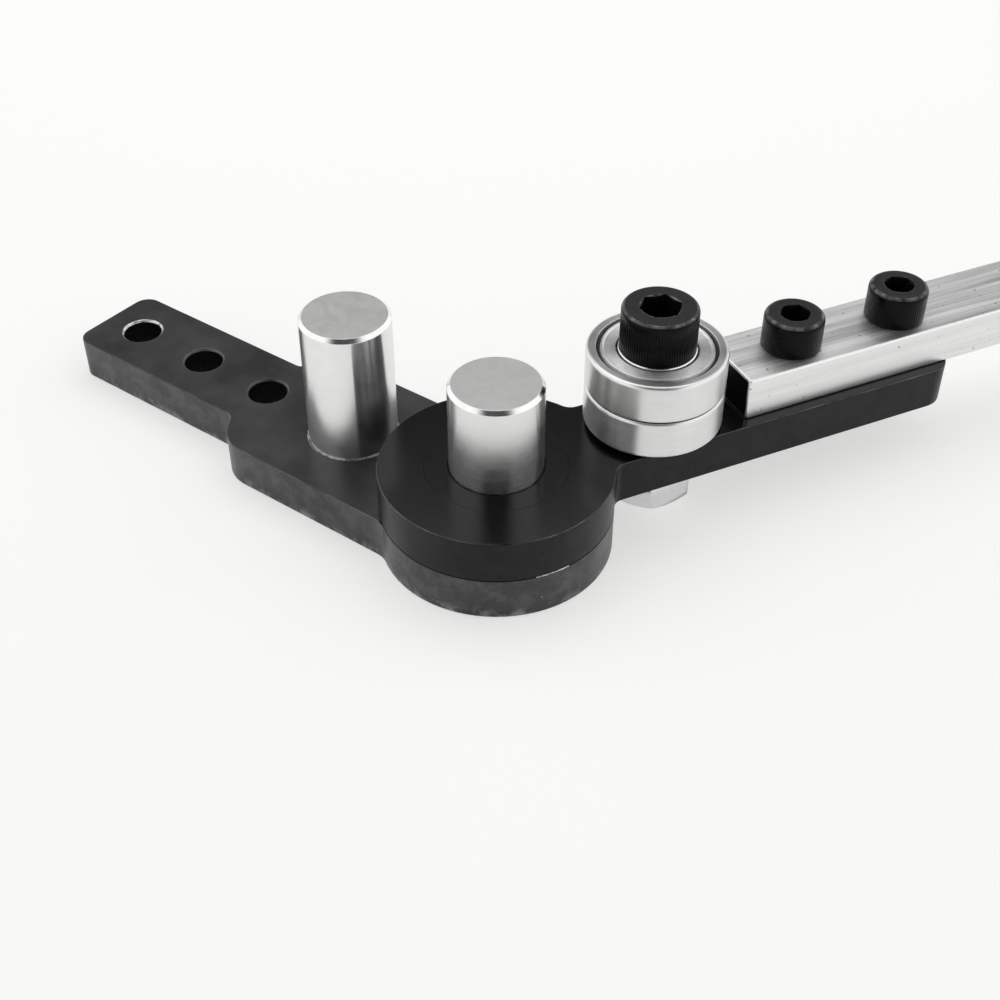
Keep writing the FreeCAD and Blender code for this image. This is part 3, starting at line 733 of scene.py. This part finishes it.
def swung(points, angle):
    """Turn flat points about the origin."""
    c, s = math.cos(angle), math.sin(angle)
    return points @ np.array([[c, s], [-s, c]])


def circle_loop(x, y, radius, steps=96):
    """A hole's rim, run clockwise so that its wall faces inwards."""
    angle = -full_circle(steps)
    return np.stack([x + radius * np.cos(angle), y + radius * np.sin(angle)], axis=-1)


def outward(loop):
    """Unit normals of a closed flat loop, to the right of its direction."""
    along = np.roll(loop, -1, axis=0) - np.roll(loop, 1, axis=0)
    along /= np.linalg.norm(along, axis=1, keepdims=True)
    return np.stack([along[:, 1], -along[:, 0]], axis=-1)


def wall_rows(loop, low, high, bevel, steps):
    """Carry an edge profile along a loop: flat rim, bevel, wall, bevel, flat rim.

    A row lies at an inset and a height: both bevels run along a quarter circle, or a straight
    slope for one step, and a last row a little further in keeps the flat face flat.
    """
    quarter = np.linspace(0, np.pi / 2, steps + 1)
    inset = bevel * (1 - np.sin(quarter))
    rise = bevel * (1 - np.cos(quarter))
    insets = np.concatenate([[bevel + HOLD], inset, [0, 0], inset[::-1], [bevel + HOLD]])
    heights = np.concatenate([[low], low + rise, [low + bevel + HOLD, high - bevel - HOLD],
                              (high - rise)[::-1], [high]])
    flat = loop[None] - outward(loop)[None] * insets[:, None, None]
    tall = np.broadcast_to(heights[:, None, None], (*flat.shape[:2], 1))
    return np.concatenate([flat, tall], axis=-1)


def plate_piece(name, rims, node, finishes, body, choose):
    """A flat plate: a wall for each rim of (loop, bevel, steps), and flat caps between them."""
    low, high = base_height(node), top_height(node)
    work = bmesh.new()
    for loop, bevel, steps in rims:
        rows = wall_rows(loop, low, high, bevel, steps)
        wall = bpy.data.meshes.new("wall")
        wall.from_pydata(rows.reshape(-1, 3), [], grid_faces(*rows.shape[:2], False).tolist())
        work.from_mesh(wall)
        bpy.data.meshes.remove(wall)
    for height in (low, high):
        edges = [e for e in work.edges if e.is_boundary and abs(e.verts[0].co.z - height) < WELD]
        bmesh.ops.triangle_fill(work, use_beauty=True, use_dissolve=False, edges=edges)
    bmesh.ops.recalc_face_normals(work, faces=work.faces)
    mesh = bpy.data.meshes.new(name)
    work.to_mesh(mesh)
    work.free()
    dress(bpy.data.objects.new(name, mesh), finishes, body, [node], choose)


def hub_arc(radius, from_angle, to_angle, steps=72):
    """Arc of a round hub between two angles."""
    angle = np.linspace(from_angle, to_angle, steps)
    return radius * np.stack([np.cos(angle), np.sin(angle)], axis=-1)


def hub_blend(radius, side, blend):
    """Small arc that touches a round hub and a straight side at a half width, towards +X.

    Its centre is at height side + blend, and at radius + blend from the hub's centre.
    """
    centre_x = math.sqrt((radius + blend) ** 2 - (side + blend) ** 2)
    centre = np.array([centre_x, side + blend])
    toward_hub = math.atan2(-centre[1], -centre[0]) % (2 * math.pi)
    return centre + hub_arc(blend, 1.5 * math.pi, toward_hub, steps=10)


def mirrored_loop(half):
    """Close a loop from its upper half, which runs from the +X end to the -X end."""
    loop = np.concatenate([half, half[::-1] * np.array([1, -1])])
    step = np.linalg.norm(loop - np.roll(loop, 1, axis=0), axis=1)
    return loop[step > WELD]


def lower_outline(s, radius, reach):
    """Outline of the lower plate: round hub, deck, shoulder and tail towards -X."""
    blend = hub_blend(radius, s.deck_half_width, s.base_hub_blend)[::-1] * np.array([-1, 1])
    hub = hub_arc(radius, 0, math.atan2(blend[0, 1], blend[0, 0]))
    side = soften([
        (blend[-1, 0], s.deck_half_width),
        (-s.deck_reach, s.deck_half_width),
        (-s.deck_reach - s.shoulder_run, s.tail_half_width),
        (-reach, s.tail_half_width),
        (-reach, 0),
    ], [0, s.shoulder_round, s.shoulder_blend, s.tail_corner, 0], steps=16, closed=False)
    return mirrored_loop(np.concatenate([hub, blend[1:-1], side]))


def arm_outline(s, radius):
    """Outline of the swinging arm, its hub at the origin and its end towards +X."""
    blend = hub_blend(radius, s.arm_half_width, s.arm_blend)
    side = soften([
        (s.arm_reach, 0),
        (s.arm_reach, s.arm_half_width),
        (blend[0, 0], s.arm_half_width),
    ], [0, s.arm_corner, 0], steps=16, closed=False)
    hub = hub_arc(radius, math.atan2(blend[-1, 1], blend[-1, 0]), math.pi)
    return mirrored_loop(np.concatenate([side, blend[1:-1], hub]))


def hexagon_radius(angle, flats):
    """Distance from a hexagon's centre to its side, with a corner at angle zero.

    It is half the width over flats, divided by the cosine of the angle to the side's middle.
    """
    return flats / 2 / np.cos(angle % (np.pi / 3) - np.pi / 6)


# Pieces

def arm_faces(bush):
    """A chooser of the finish: 3, the dark painted shade, for the arm's lower edges and its bush seat,
    where shade falls, else by slope.
    """
    def choose(centres, normals):
        inside = np.hypot(*centres[:, :2].T) < bush
        tilted = np.abs(normals[:, 2]) < LEVEL_FACE
        under = normals[:, 2] < -UPRIGHT_FACE
        return np.where((under | inside) & tilted, 3, by_slope(centres, normals))
    return choose


def lower_faces(s, hub, stop, pin, holes):
    """A chooser of the finish for the lower plate.

    It is 1, the dark painted shade, for the upper edge under the arm's hub and the walls of the
    bench holes, where shade falls, and 0 for the coat. It is 2 for bare steel: a worn stretch of that
    edge, the rim of the last bench hole, rubbed by a bolt's head, and that of the stop pin's seat.
    """
    def choose(centres, normals):
        edge = (normals[:, 2] > UPRIGHT_FACE) & (normals[:, 2] < LEVEL_FACE)
        seam = edge & (np.abs(np.hypot(*centres[:, :2].T) - hub) < 2 * s.edge_round)
        angle = np.arctan2(centres[:, 1], centres[:, 0])
        bare = seam & (angle > s.bare_from) & (angle < s.bare_to)
        bare |= edge & (np.hypot(*(centres[:, :2] - stop[:2]).T) < pin + 2 * s.seat_bevel)
        last = np.hypot(centres[:, 0] - holes[-1], centres[:, 1])
        bare |= edge & (last < s.hole_radius + 2 * s.hole_bevel)
        # Painted shade: the seam under the arm's hub and the bench holes' walls get the dark paint
        in_shade = seam
        for hole in holes:
            near = np.hypot(centres[:, 0] - hole, centres[:, 1]) < s.hole_radius + HOLD
            in_shade = in_shade | near & (np.abs(normals[:, 2]) < UPRIGHT_FACE)
        return np.where(bare, 2, np.where(in_shade, 1, 0))
    return choose


class PLATES_OT_build(bpy.types.Operator):
    """Build both plates with worn round edges and bevelled holes"""
    bl_idname = "scroll_bender.plates"
    bl_label = "Plates"

    def execute(self, context):
        s = context.scene.bender_plates
        screws = context.scene.bender_screws
        low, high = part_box("base_plate")
        pin = half_width("stop_pin")
        round_steps, bevel_steps, seat_steps = 4, 1, 160
        rims = [(lower_outline(s, high[0], -low[0]), s.edge_round, round_steps)]
        holes = [-s.hole_start - i * s.hole_pitch for i in range(3)]
        rims += [(circle_loop(hole, 0, s.hole_radius), s.hole_bevel, bevel_steps) for hole in holes]
        stop = middle("stop_pin")
        rims += [(circle_loop(x, 0, pin, seat_steps), s.seat_bevel, bevel_steps) for x in (0, stop[0])]
        # The lower plate's finish 1 is the dark painted shade
        plate_piece("lower_plate", rims, "base_plate", ["lower_plate", "socket", "worn_seat"],
                    "base", lower_faces(s, high[0], stop, pin, holes))
        hub = -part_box("swing_arm")[0][0]
        bush = half_width("pivot_bush")
        rims = [(swung(arm_outline(s, hub), ARM_TURN), s.edge_round, round_steps),
                (circle_loop(0, 0, bush, seat_steps), s.tap_bevel, bevel_steps)]
        for screw, bore in (("roller_screw", screws.shim_bore), ("lever_screw_front", screws.lever_shank),
                            ("lever_screw_rear", screws.lever_shank)):
            rims.append((circle_loop(*middle(screw)[:2], bore), s.tap_bevel, bevel_steps))
        # The arm's finish 3 is the dark painted shade under it and in the bush seat
        plate_piece("arm_plate", rims, "swing_arm", ["arm_side", "arm_face", "arm_side", "socket"],
                    "arm", arm_faces(bush + s.tap_bevel + HOLD))
        return {"FINISHED"}


class BUSH_OT_build(bpy.types.Operator):
    """Build the flush bush in the arm's hub"""
    bl_idname = "scroll_bender.bush"
    bl_label = "Pivot bush"

    def execute(self, context):
        s = context.scene.bender_plates
        low, high = base_height("pivot_bush"), top_height("pivot_bush")
        bore, outer = half_width("centre_pin") + s.bush_play, half_width("pivot_bush")
        rows = soften([(bore, low), (outer, low), (outer, high), (bore, high)],
                      [s.bush_bevel, s.tap_bevel, s.tap_bevel, s.bush_bevel], steps=3, hold=HOLD)
        # The bush's upright walls and bevels get the dark painted shade, its faces the arm's coat
        polar_piece("hub_bush", rows, (0, 0), full_circle(), True, ["socket", "arm_face", "socket"],
                    "arm", ["pivot_bush"])
        return {"FINISHED"}


class PINS_OT_build(bpy.types.Operator):
    """Build the pivot pin and the stop pin"""
    bl_idname = "scroll_bender.pins"
    bl_label = "Pins"

    def execute(self, context):
        s = context.scene.bender_pins
        soft = s.edge_round
        for node, name in (("centre_pin", "pivot_post"), ("stop_pin", "stop_post")):
            low, high, r = base_height(node), top_height(node), half_width(node)
            rows = soften([
                (0, low),
                (r - s.foot_bevel, low),
                (r, low + s.foot_bevel),
                (r, high - s.top_bevel),
                (r - s.top_bevel, high),
                (0, high),
            ], [0, soft, soft, soft, soft, 0], steps=3, closed=False, hold=HOLD)
            polar_piece(name, rows, middle(node), full_circle(), False, ["pin", "pin_top", "bevel"],
                        "base", [node])
        return {"FINISHED"}


class BAR_OT_build(bpy.types.Operator):
    """Build the lever bar with softened edges"""
    bl_idname = "scroll_bender.lever_bar"
    bl_label = "Lever bar"

    def execute(self, context):
        s = context.scene.bender_lever
        end = s.start + s.reach
        corners = [(s.start, -s.half_width), (end, -s.half_width), (end, s.half_width),
                   (s.start, s.half_width)]
        loop = swung(soften(corners, s.corner_round, steps=4, hold=HOLD), ARM_TURN)
        along = np.array([math.cos(ARM_TURN), math.sin(ARM_TURN), 0])

        def choose(centres, normals):
            # Finish 3 paints both end faces near-black as shade
            return np.where(np.abs(normals @ along) > LEVEL_FACE, 3, by_slope(centres, normals))

        round_steps = 3
        plate_piece("lever", [(loop, s.edge_round, round_steps)], "lever_bar",
                    ["bar", "bar_top", "bar", "bar_end"], "arm", choose)
        return {"FINISHED"}


def socket_faces(centre, mouth, seat, deep, oiled):
    """A chooser of the finish: 1 on a socket's walls and floor, 2 on the head's top, else 0.

    Finish 1 is the dark painted shade inside the socket, and the socket's mouth gets it too where its
    lean is less than the given limit.
    """
    half_level = 0.5

    def choose(centres, normals):
        reach = np.hypot(*(centres[:, :2] - centre[:2]).T)
        lean = normals[:, 2]
        inside = (reach < mouth) & (centres[:, 2] > seat)
        walls = inside & ((lean < oiled) | (centres[:, 2] < deep + HOLD))
        top = (centres[:, 2] > seat) & (lean > half_level)
        return np.where(walls, 1, np.where(top, 2, 0))
    return choose


def cap_screw(s, name, node, kind, seat, corner, oiled):
    """A socket head cap screw of the roller's or the lever's kind.

    The head's side is a ring of n ridges, r = head - depth * (1 - cos(n a)) / 2, that fades out
    at both rims, with n a multiple of six, so that the hexagon's corners lie on the grid. The
    socket is a hexagon, half as deep as the head is high, with a cone for its floor. Its mouth is
    a narrow cone that ends short of the corners: at each angle the rim lies on the cone or on the
    hexagon, whichever is wider.
    """
    steps_per_ridge, knurl_rows, fade = 8, 10, 3
    flats, shank = getattr(s, f"{kind}_flats"), getattr(s, f"{kind}_shank")
    shoulder, ridge = getattr(s, f"{kind}_round"), getattr(s, f"{kind}_knurl")
    low, high = base_height(node), top_height(node)
    head = half_width(node)
    ridges = 6 * round(math.pi * head / s.knurl_pitch / 3)
    angle = full_circle(steps_per_ridge * ridges, corner)
    ripple = (1 - np.cos(ridges * (angle - corner))) / 2
    hexagon = hexagon_radius(angle - corner, flats)
    mouth = np.maximum(flats / 2 + s.mouth_bevel, hexagon + HOLD / 2)
    slope = high - (mouth - hexagon)
    deep, cone = high - (high - seat) / 2, flats / 4
    wall_low, wall_high = seat + s.foot_round + HOLD, high - shoulder - HOLD
    below = soften([(0, low), (shank - s.tip_bevel, low), (shank, low + s.tip_bevel), (shank, seat),
                    (head, seat), (head, wall_low)],
                   [0, HOLD, HOLD, HOLD, s.foot_round, 0], steps=4, closed=False)
    above = soften([(head, wall_high), (head, high), (np.max(mouth) + HOLD, high)], [0, shoulder, 0],
                   steps=8, closed=False)
    share = np.linspace(0, 1, knurl_rows)[1:-1]
    depth = ridge * np.minimum(1, fade * np.minimum(share, 1 - share))
    knurl = [(head - d * ripple, wall_low + k * (wall_high - wall_low)) for k, d in zip(share, depth)]
    socket = [(mouth, high), (hexagon, slope), (hexagon, slope - HOLD), (hexagon, deep),
              (0, deep - cone)]
    # The socket's walls get the dark painted shade, and the head's top a lighter copy of the oxide as
    # painted light
    polar_piece(name, [*below, *knurl, *above, *socket], middle(node), angle, False,
                ["oxide", "socket", "oxide_top"], "arm", [node],
                socket_faces(middle(node), np.max(mouth), seat, deep, oiled))


class SCREWS_OT_build(bpy.types.Operator):
    """Build the three cap screws"""
    bl_idname = "scroll_bender.screws"
    bl_label = "Cap screws"

    def execute(self, context):
        s = context.scene.bender_screws
        bar, race = top_height("lever_bar"), top_height("upper_inner_race")
        # Lean limits below which a socket's mouth is painted dark as shade
        more_shaded_mouth, less_shaded_mouth = 0.9, 0.5
        cap_screw(s, "lever_cap_front", "lever_screw_front", "lever", bar, s.front_turn, more_shaded_mouth)
        cap_screw(s, "lever_cap_rear", "lever_screw_rear", "lever", bar, s.rear_turn, more_shaded_mouth)
        cap_screw(s, "roller_cap", "roller_screw", "roller", race, s.roller_turn, less_shaded_mouth)
        return {"FINISHED"}


def hexagon_nut(s, node):
    """The nut: a hexagon round a bore, whose corners are turned down to a cone.

    The cone meets the middle of each side at the end faces, so that at each angle the height
    drops by the hexagon's radius over that of the sides' middle, times the slope.
    """
    low, high = base_height(node), top_height(node)
    angle = full_circle(start=s.nut_turn)
    hexagon = hexagon_radius(angle - s.nut_turn, s.nut_flats)
    face, bore, lip = s.nut_flats / 2, s.roller_shank, s.thread_bevel
    drop = (hexagon - face) * math.tan(s.nut_bevel) + 2 * HOLD
    rows = [
        (bore, high - lip), (bore, low + lip), (bore + lip, low), (face - 2 * HOLD, low),
        (hexagon - HOLD / 2, low + drop - HOLD / 2), (hexagon, low + drop),
        (hexagon, high - drop), (hexagon - HOLD / 2, high - drop + HOLD / 2),
        (face - 2 * HOLD, high), (bore + lip, high),
    ]
    polar_piece("roller_hexagon_nut", rows, middle(node), angle, True, ["zinc"],
                "arm", [node])


def washer(s, node):
    """The washer: a rectangle with rounded corners, turned round its axis."""
    low, high, outer = base_height(node), top_height(node), half_width(node)
    rows = soften([(s.shim_bore, low), (outer, low), (outer, high), (s.shim_bore, high)],
                  s.shim_round, steps=3, hold=HOLD)
    polar_piece("roller_shim", rows, middle(node), full_circle(steps=96), True, ["zinc"],
                "arm", [node])


class NUT_OT_build(bpy.types.Operator):
    """Build the nut under the arm and the washer under the roller"""
    bl_idname = "scroll_bender.nut"
    bl_label = "Nut and washer"

    def execute(self, context):
        s = context.scene.bender_screws
        hexagon_nut(s, "roller_nut")
        washer(s, "roller_washer")
        return {"FINISHED"}


def beside_seam(seam, reach):
    """A chooser of the finish: 3, the dark painted shade, for rounded faces near the seam's height, else
    by slope.
    """
    def choose(centres, normals):
        round_face = (np.abs(normals[:, 2]) < LEVEL_FACE) & (np.abs(centres[:, 2] - seam) < reach)
        return np.where(round_face, 3, by_slope(centres, normals))
    return choose


def outer_ring(s, level):
    """Outer ring of a bearing, with a seat for the shield in each face."""
    node = f"{level}_outer_race"
    seam = (top_height("lower_outer_race") + base_height("upper_outer_race")) / 2
    low, high, outer = base_height(node), top_height(node), half_width(node)
    seat = s.rim_depth + s.sheet_thickness
    rows = soften([
        (s.shoulder_radius, low + seat), (s.recess_radius, low + seat), (s.recess_radius, low),
        (outer, low), (outer, high),
        (s.recess_radius, high), (s.recess_radius, high - seat), (s.shoulder_radius, high - seat),
    ], [HOLD, HOLD, s.edge_round, s.outer_round, s.outer_round, s.edge_round, HOLD, HOLD],
        steps=6, hold=HOLD / 2)
    # Finish 3 paints the seam between the rings dark as shade
    polar_piece(f"{level}_ring", rows, middle(node), full_circle(steps=256), True,
                ["race", "race_face", "race", "socket"], f"{level}_roller", [node],
                beside_seam(seam, s.seam_reach))


def inner_ring(s, level):
    """Inner ring of a bearing, which the screw clamps."""
    node = f"{level}_outer_race"
    low, high = base_height(node) - s.inner_proud, top_height(node) + s.inner_proud
    rows = soften([(s.bore_radius, low), (s.inner_radius, low), (s.inner_radius, high),
                   (s.bore_radius, high)], s.inner_round, steps=4, hold=HOLD)
    polar_piece(f"{level}_inner_ring", rows, middle(node), full_circle(), True,
                ["race", "race_face", "bevel"], "arm", [f"{level}_inner_race"])


def beyond(centre, radius):
    """A chooser of the finish: 1 past a radius from an upright axis, 0 within it."""
    def choose(centres, normals):
        return np.hypot(*(centres[:, :2] - centre[:2]).T) > radius
    return choose


def shield(s, level, side, way):
    """One shield: a flat web with a bead, which turns down into a rim in the ring's seat.

    way is 1 for the upper shield and -1 for the lower, whose line is turned over and run
    backwards, so that both face outwards.
    """
    node = f"{level}_outer_race"
    centre = middle(node)
    half = top_height(node) - centre[2]
    web, rim, t = half - s.web_depth, half - s.rim_depth, s.sheet_thickness
    bead = web + s.bead_height
    line = [
        (s.gap_radius, web - t), (s.rim_radius, web - t), (s.rim_radius + t, rim - t),
        (s.recess_radius, rim - t), (s.recess_radius, rim), (s.rim_radius + t / 2, rim),
        (s.rim_radius, bead), (s.rim_radius - s.bead_width / 2, bead),
        (s.rim_radius - s.bead_width, web), (s.gap_radius, web),
    ]
    line = [(r, centre[2] + way * height) for r, height in line[::way]]
    rows = soften(line, s.edge_round / 2, steps=3, hold=HOLD / 5)
    # The shield's rim past the web, down in the seat, gets the dark painted shade
    polar_piece(f"{level}_{side}_cover", rows, centre, full_circle(), True, ["shield", "seat"],
                f"{level}_roller", [f"{level}_shield_{side}"],
                beyond(centre, s.rim_radius + t / 4))


class BEARINGS_OT_build(bpy.types.Operator):
    """Build both ball bearings"""
    bl_idname = "scroll_bender.bearings"
    bl_label = "Ball bearings"

    def execute(self, context):
        s = context.scene.bender_bearings
        for level in ("lower", "upper"):
            outer_ring(s, level)
            inner_ring(s, level)
            shield(s, level, "top", 1)
            shield(s, level, "bottom", -1)
            for part, finish_name in (("balls", "race_face"), ("cage", "shield")):
                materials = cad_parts[f"{level}_{part}"].data.materials
                materials.clear()
                materials.append(material_of(finish_name))
        return {"FINISHED"}


# Studio

def backdrop_board(s):
    """Painted backdrop board: matt, and lifted to white only where it is seen or mirrored."""
    m, _ = new_material("white_backdrop")
    seen = add_node(m, "ShaderNodeLightPath", out="Is Camera Ray")
    glossy = add_node(m, "ShaderNodeLightPath", out="Is Glossy Ray")
    mirrored = add_node(m, "ShaderNodeMath", {0: glossy, 1: s.mirror_share}, operation="MULTIPLY")
    seen = add_node(m, "ShaderNodeMath", {0: seen, 1: mirrored}, operation="MAXIMUM")
    lift = add_node(m, "ShaderNodeMath", {0: seen, 1: s.board_glow}, operation="MULTIPLY")
    warm_white = linear("#fffffd")
    paint = add_node(m, "ShaderNodeBsdfDiffuse", {"Color": s.board})
    glow = add_node(m, "ShaderNodeEmission", {"Color": warm_white, "Strength": lift})
    both = add_node(m, "ShaderNodeAddShader", {0: paint, 1: glow})
    add_node(m, "ShaderNodeOutputMaterial", {"Surface": both})
    return m


def toward_camera(s):
    """Unit vector from the target to the camera."""
    level = math.cos(s.elevation)
    return Vector((math.sin(s.azimuth) * level, -math.cos(s.azimuth) * level, math.sin(s.elevation)))


def light_tent(s):
    """A tent with two white walls, open before and behind, on a white sweep.

    The walls are bright where the way across the tent passes a limit, and the sweep is bright
    near the horizon. The brighter of the two counts.
    """
    wall_from, wall_to, sweep_full, sweep_end = 0.3, 0.6, 0.1, 0.35
    world = bpy.data.worlds.new("light_tent")
    world.use_nodes = True
    world.node_tree.nodes.clear()
    way = add_node(world, "ShaderNodeTexCoord", out="Generated")
    across = Vector((math.cos(s.azimuth), math.sin(s.azimuth), 0))
    side = add_node(world, "ShaderNodeVectorMath", {0: way, 1: across}, operation="DOT_PRODUCT")
    reach = add_node(world, "ShaderNodeMath", {0: side}, operation="ABSOLUTE")
    wall = add_node(world, "ShaderNodeMapRange", {
        "Value": reach, "From Min": wall_from, "From Max": wall_to, "To Min": s.gap, "To Max": s.tent},
        interpolation_type="SMOOTHSTEP")
    rise = add_node(world, "ShaderNodeSeparateXYZ", {0: way}, out="Z")
    sweep = add_node(world, "ShaderNodeMapRange", {
        "Value": rise, "From Min": sweep_full, "From Max": sweep_end, "To Min": 1.0, "To Max": 0.0},
        interpolation_type="SMOOTHSTEP")
    light = add_node(world, "ShaderNodeMath", {0: wall, 1: sweep}, operation="MAXIMUM")
    glow = add_node(world, "ShaderNodeBackground", {"Color": (1, 1, 1, 1), "Strength": light})
    add_node(world, "ShaderNodeOutputWorld", {"Surface": glow})
    return world


def lay_floor(s):
    """A wide square of backdrop board, just under the plate."""
    span, sink = 6.0, 0.2 * MM
    mesh = bpy.data.meshes.new("floor")
    mesh.from_pydata([(-span, -span, -sink), (span, -span, -sink), (span, span, -sink),
                      (-span, span, -sink)], [], [(0, 1, 2, 3)])
    mesh.materials.append(backdrop_board(s))
    floor = bpy.data.objects.new("floor", mesh)
    bpy.context.scene.collection.objects.link(floor)


def set_camera(s):
    """The camera, at its distance from the target and turned to it."""
    sensor, near = 36.0, 10 * MM
    camera = bpy.data.objects.new("camera", bpy.data.cameras.new("camera"))
    camera.data.sensor_fit = "HORIZONTAL"
    camera.data.sensor_width = sensor
    camera.data.lens = s.lens
    camera.data.clip_start = near
    back = toward_camera(s)
    camera.location = Vector((s.target_x, s.target_y, s.target_z)) + back * s.distance
    camera.rotation_euler = (-back).to_track_quat("-Z", "Y").to_euler()
    bpy.context.scene.collection.objects.link(camera)
    bpy.context.scene.camera = camera


def hang_lamp(s):
    """A square lamp over and behind the tool, turned to the pivot."""
    width, distance = 0.8, 1.0
    lamp = bpy.data.lights.new("overhead_lamp", "AREA")
    lamp.size, lamp.energy = width, s.lamp
    bank = bpy.data.objects.new("overhead_lamp", lamp)
    behind = math.cos(s.lamp_height)
    bank.location = distance * Vector((
        -math.sin(s.azimuth) * behind, math.cos(s.azimuth) * behind, math.sin(s.lamp_height)))
    bank.rotation_euler = bank.location.to_track_quat("Z", "Y").to_euler()
    bpy.context.scene.collection.objects.link(bank)


class STUDIO_OT_build(bpy.types.Operator):
    """Set up the floor, the lamp, the light tent and the camera"""
    bl_idname = "scroll_bender.studio"
    bl_label = "Studio"

    def execute(self, context):
        s = context.scene.bender_studio
        lay_floor(s)
        set_camera(s)
        context.scene.world = light_tent(s)
        hang_lamp(s)
        context.scene.view_settings.view_transform = "Standard"
        return {"FINISHED"}


class BENDER_PT_panel(bpy.types.Panel):
    """Lists the settings and the steps"""
    bl_idname = "BENDER_PT_panel"
    bl_label = "Scroll Bender"
    bl_space_type = "VIEW_3D"
    bl_region_type = "UI"
    bl_category = "Scroll Bender"

    def draw(self, context):
        for group, (_, operators) in STEPS.items():
            box = self.layout.box()
            for operator in operators:
                box.operator(operator.bl_idname)
            settings = getattr(context.scene, group)
            for name in settings.__annotations__:
                box.prop(settings, name)


STEPS = {
    "bender_plates": (PlateSettings, [PLATES_OT_build, BUSH_OT_build]),
    "bender_lever": (LeverSettings, [BAR_OT_build]),
    "bender_pins": (PinSettings, [PINS_OT_build]),
    "bender_screws": (ScrewSettings, [SCREWS_OT_build, NUT_OT_build]),
    "bender_bearings": (BearingSettings, [BEARINGS_OT_build]),
    "bender_studio": (StudioSettings, [STUDIO_OT_build]),
}
OPERATORS = [operator for _, operators in STEPS.values() for operator in operators]


def register():
    """Make the settings and the steps known to Blender."""
    for name, (group, _) in STEPS.items():
        bpy.utils.register_class(group)
        setattr(bpy.types.Scene, name, bpy.props.PointerProperty(type=group))
    for thing in (*OPERATORS, BENDER_PT_panel):
        bpy.utils.register_class(thing)


def unregister():
    """Take them out again."""
    for thing in (BENDER_PT_panel, *reversed(OPERATORS)):
        bpy.utils.unregister_class(thing)
    for name, (group, _) in STEPS.items():
        delattr(bpy.types.Scene, name)
        bpy.utils.unregister_class(group)


def main():
    """Build everything in order."""
    register()
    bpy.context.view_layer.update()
    for operator in OPERATORS:
        group, step = operator.bl_idname.split(".")
        getattr(getattr(bpy.ops, group), step)()


if __name__ == "__main__":
    main()
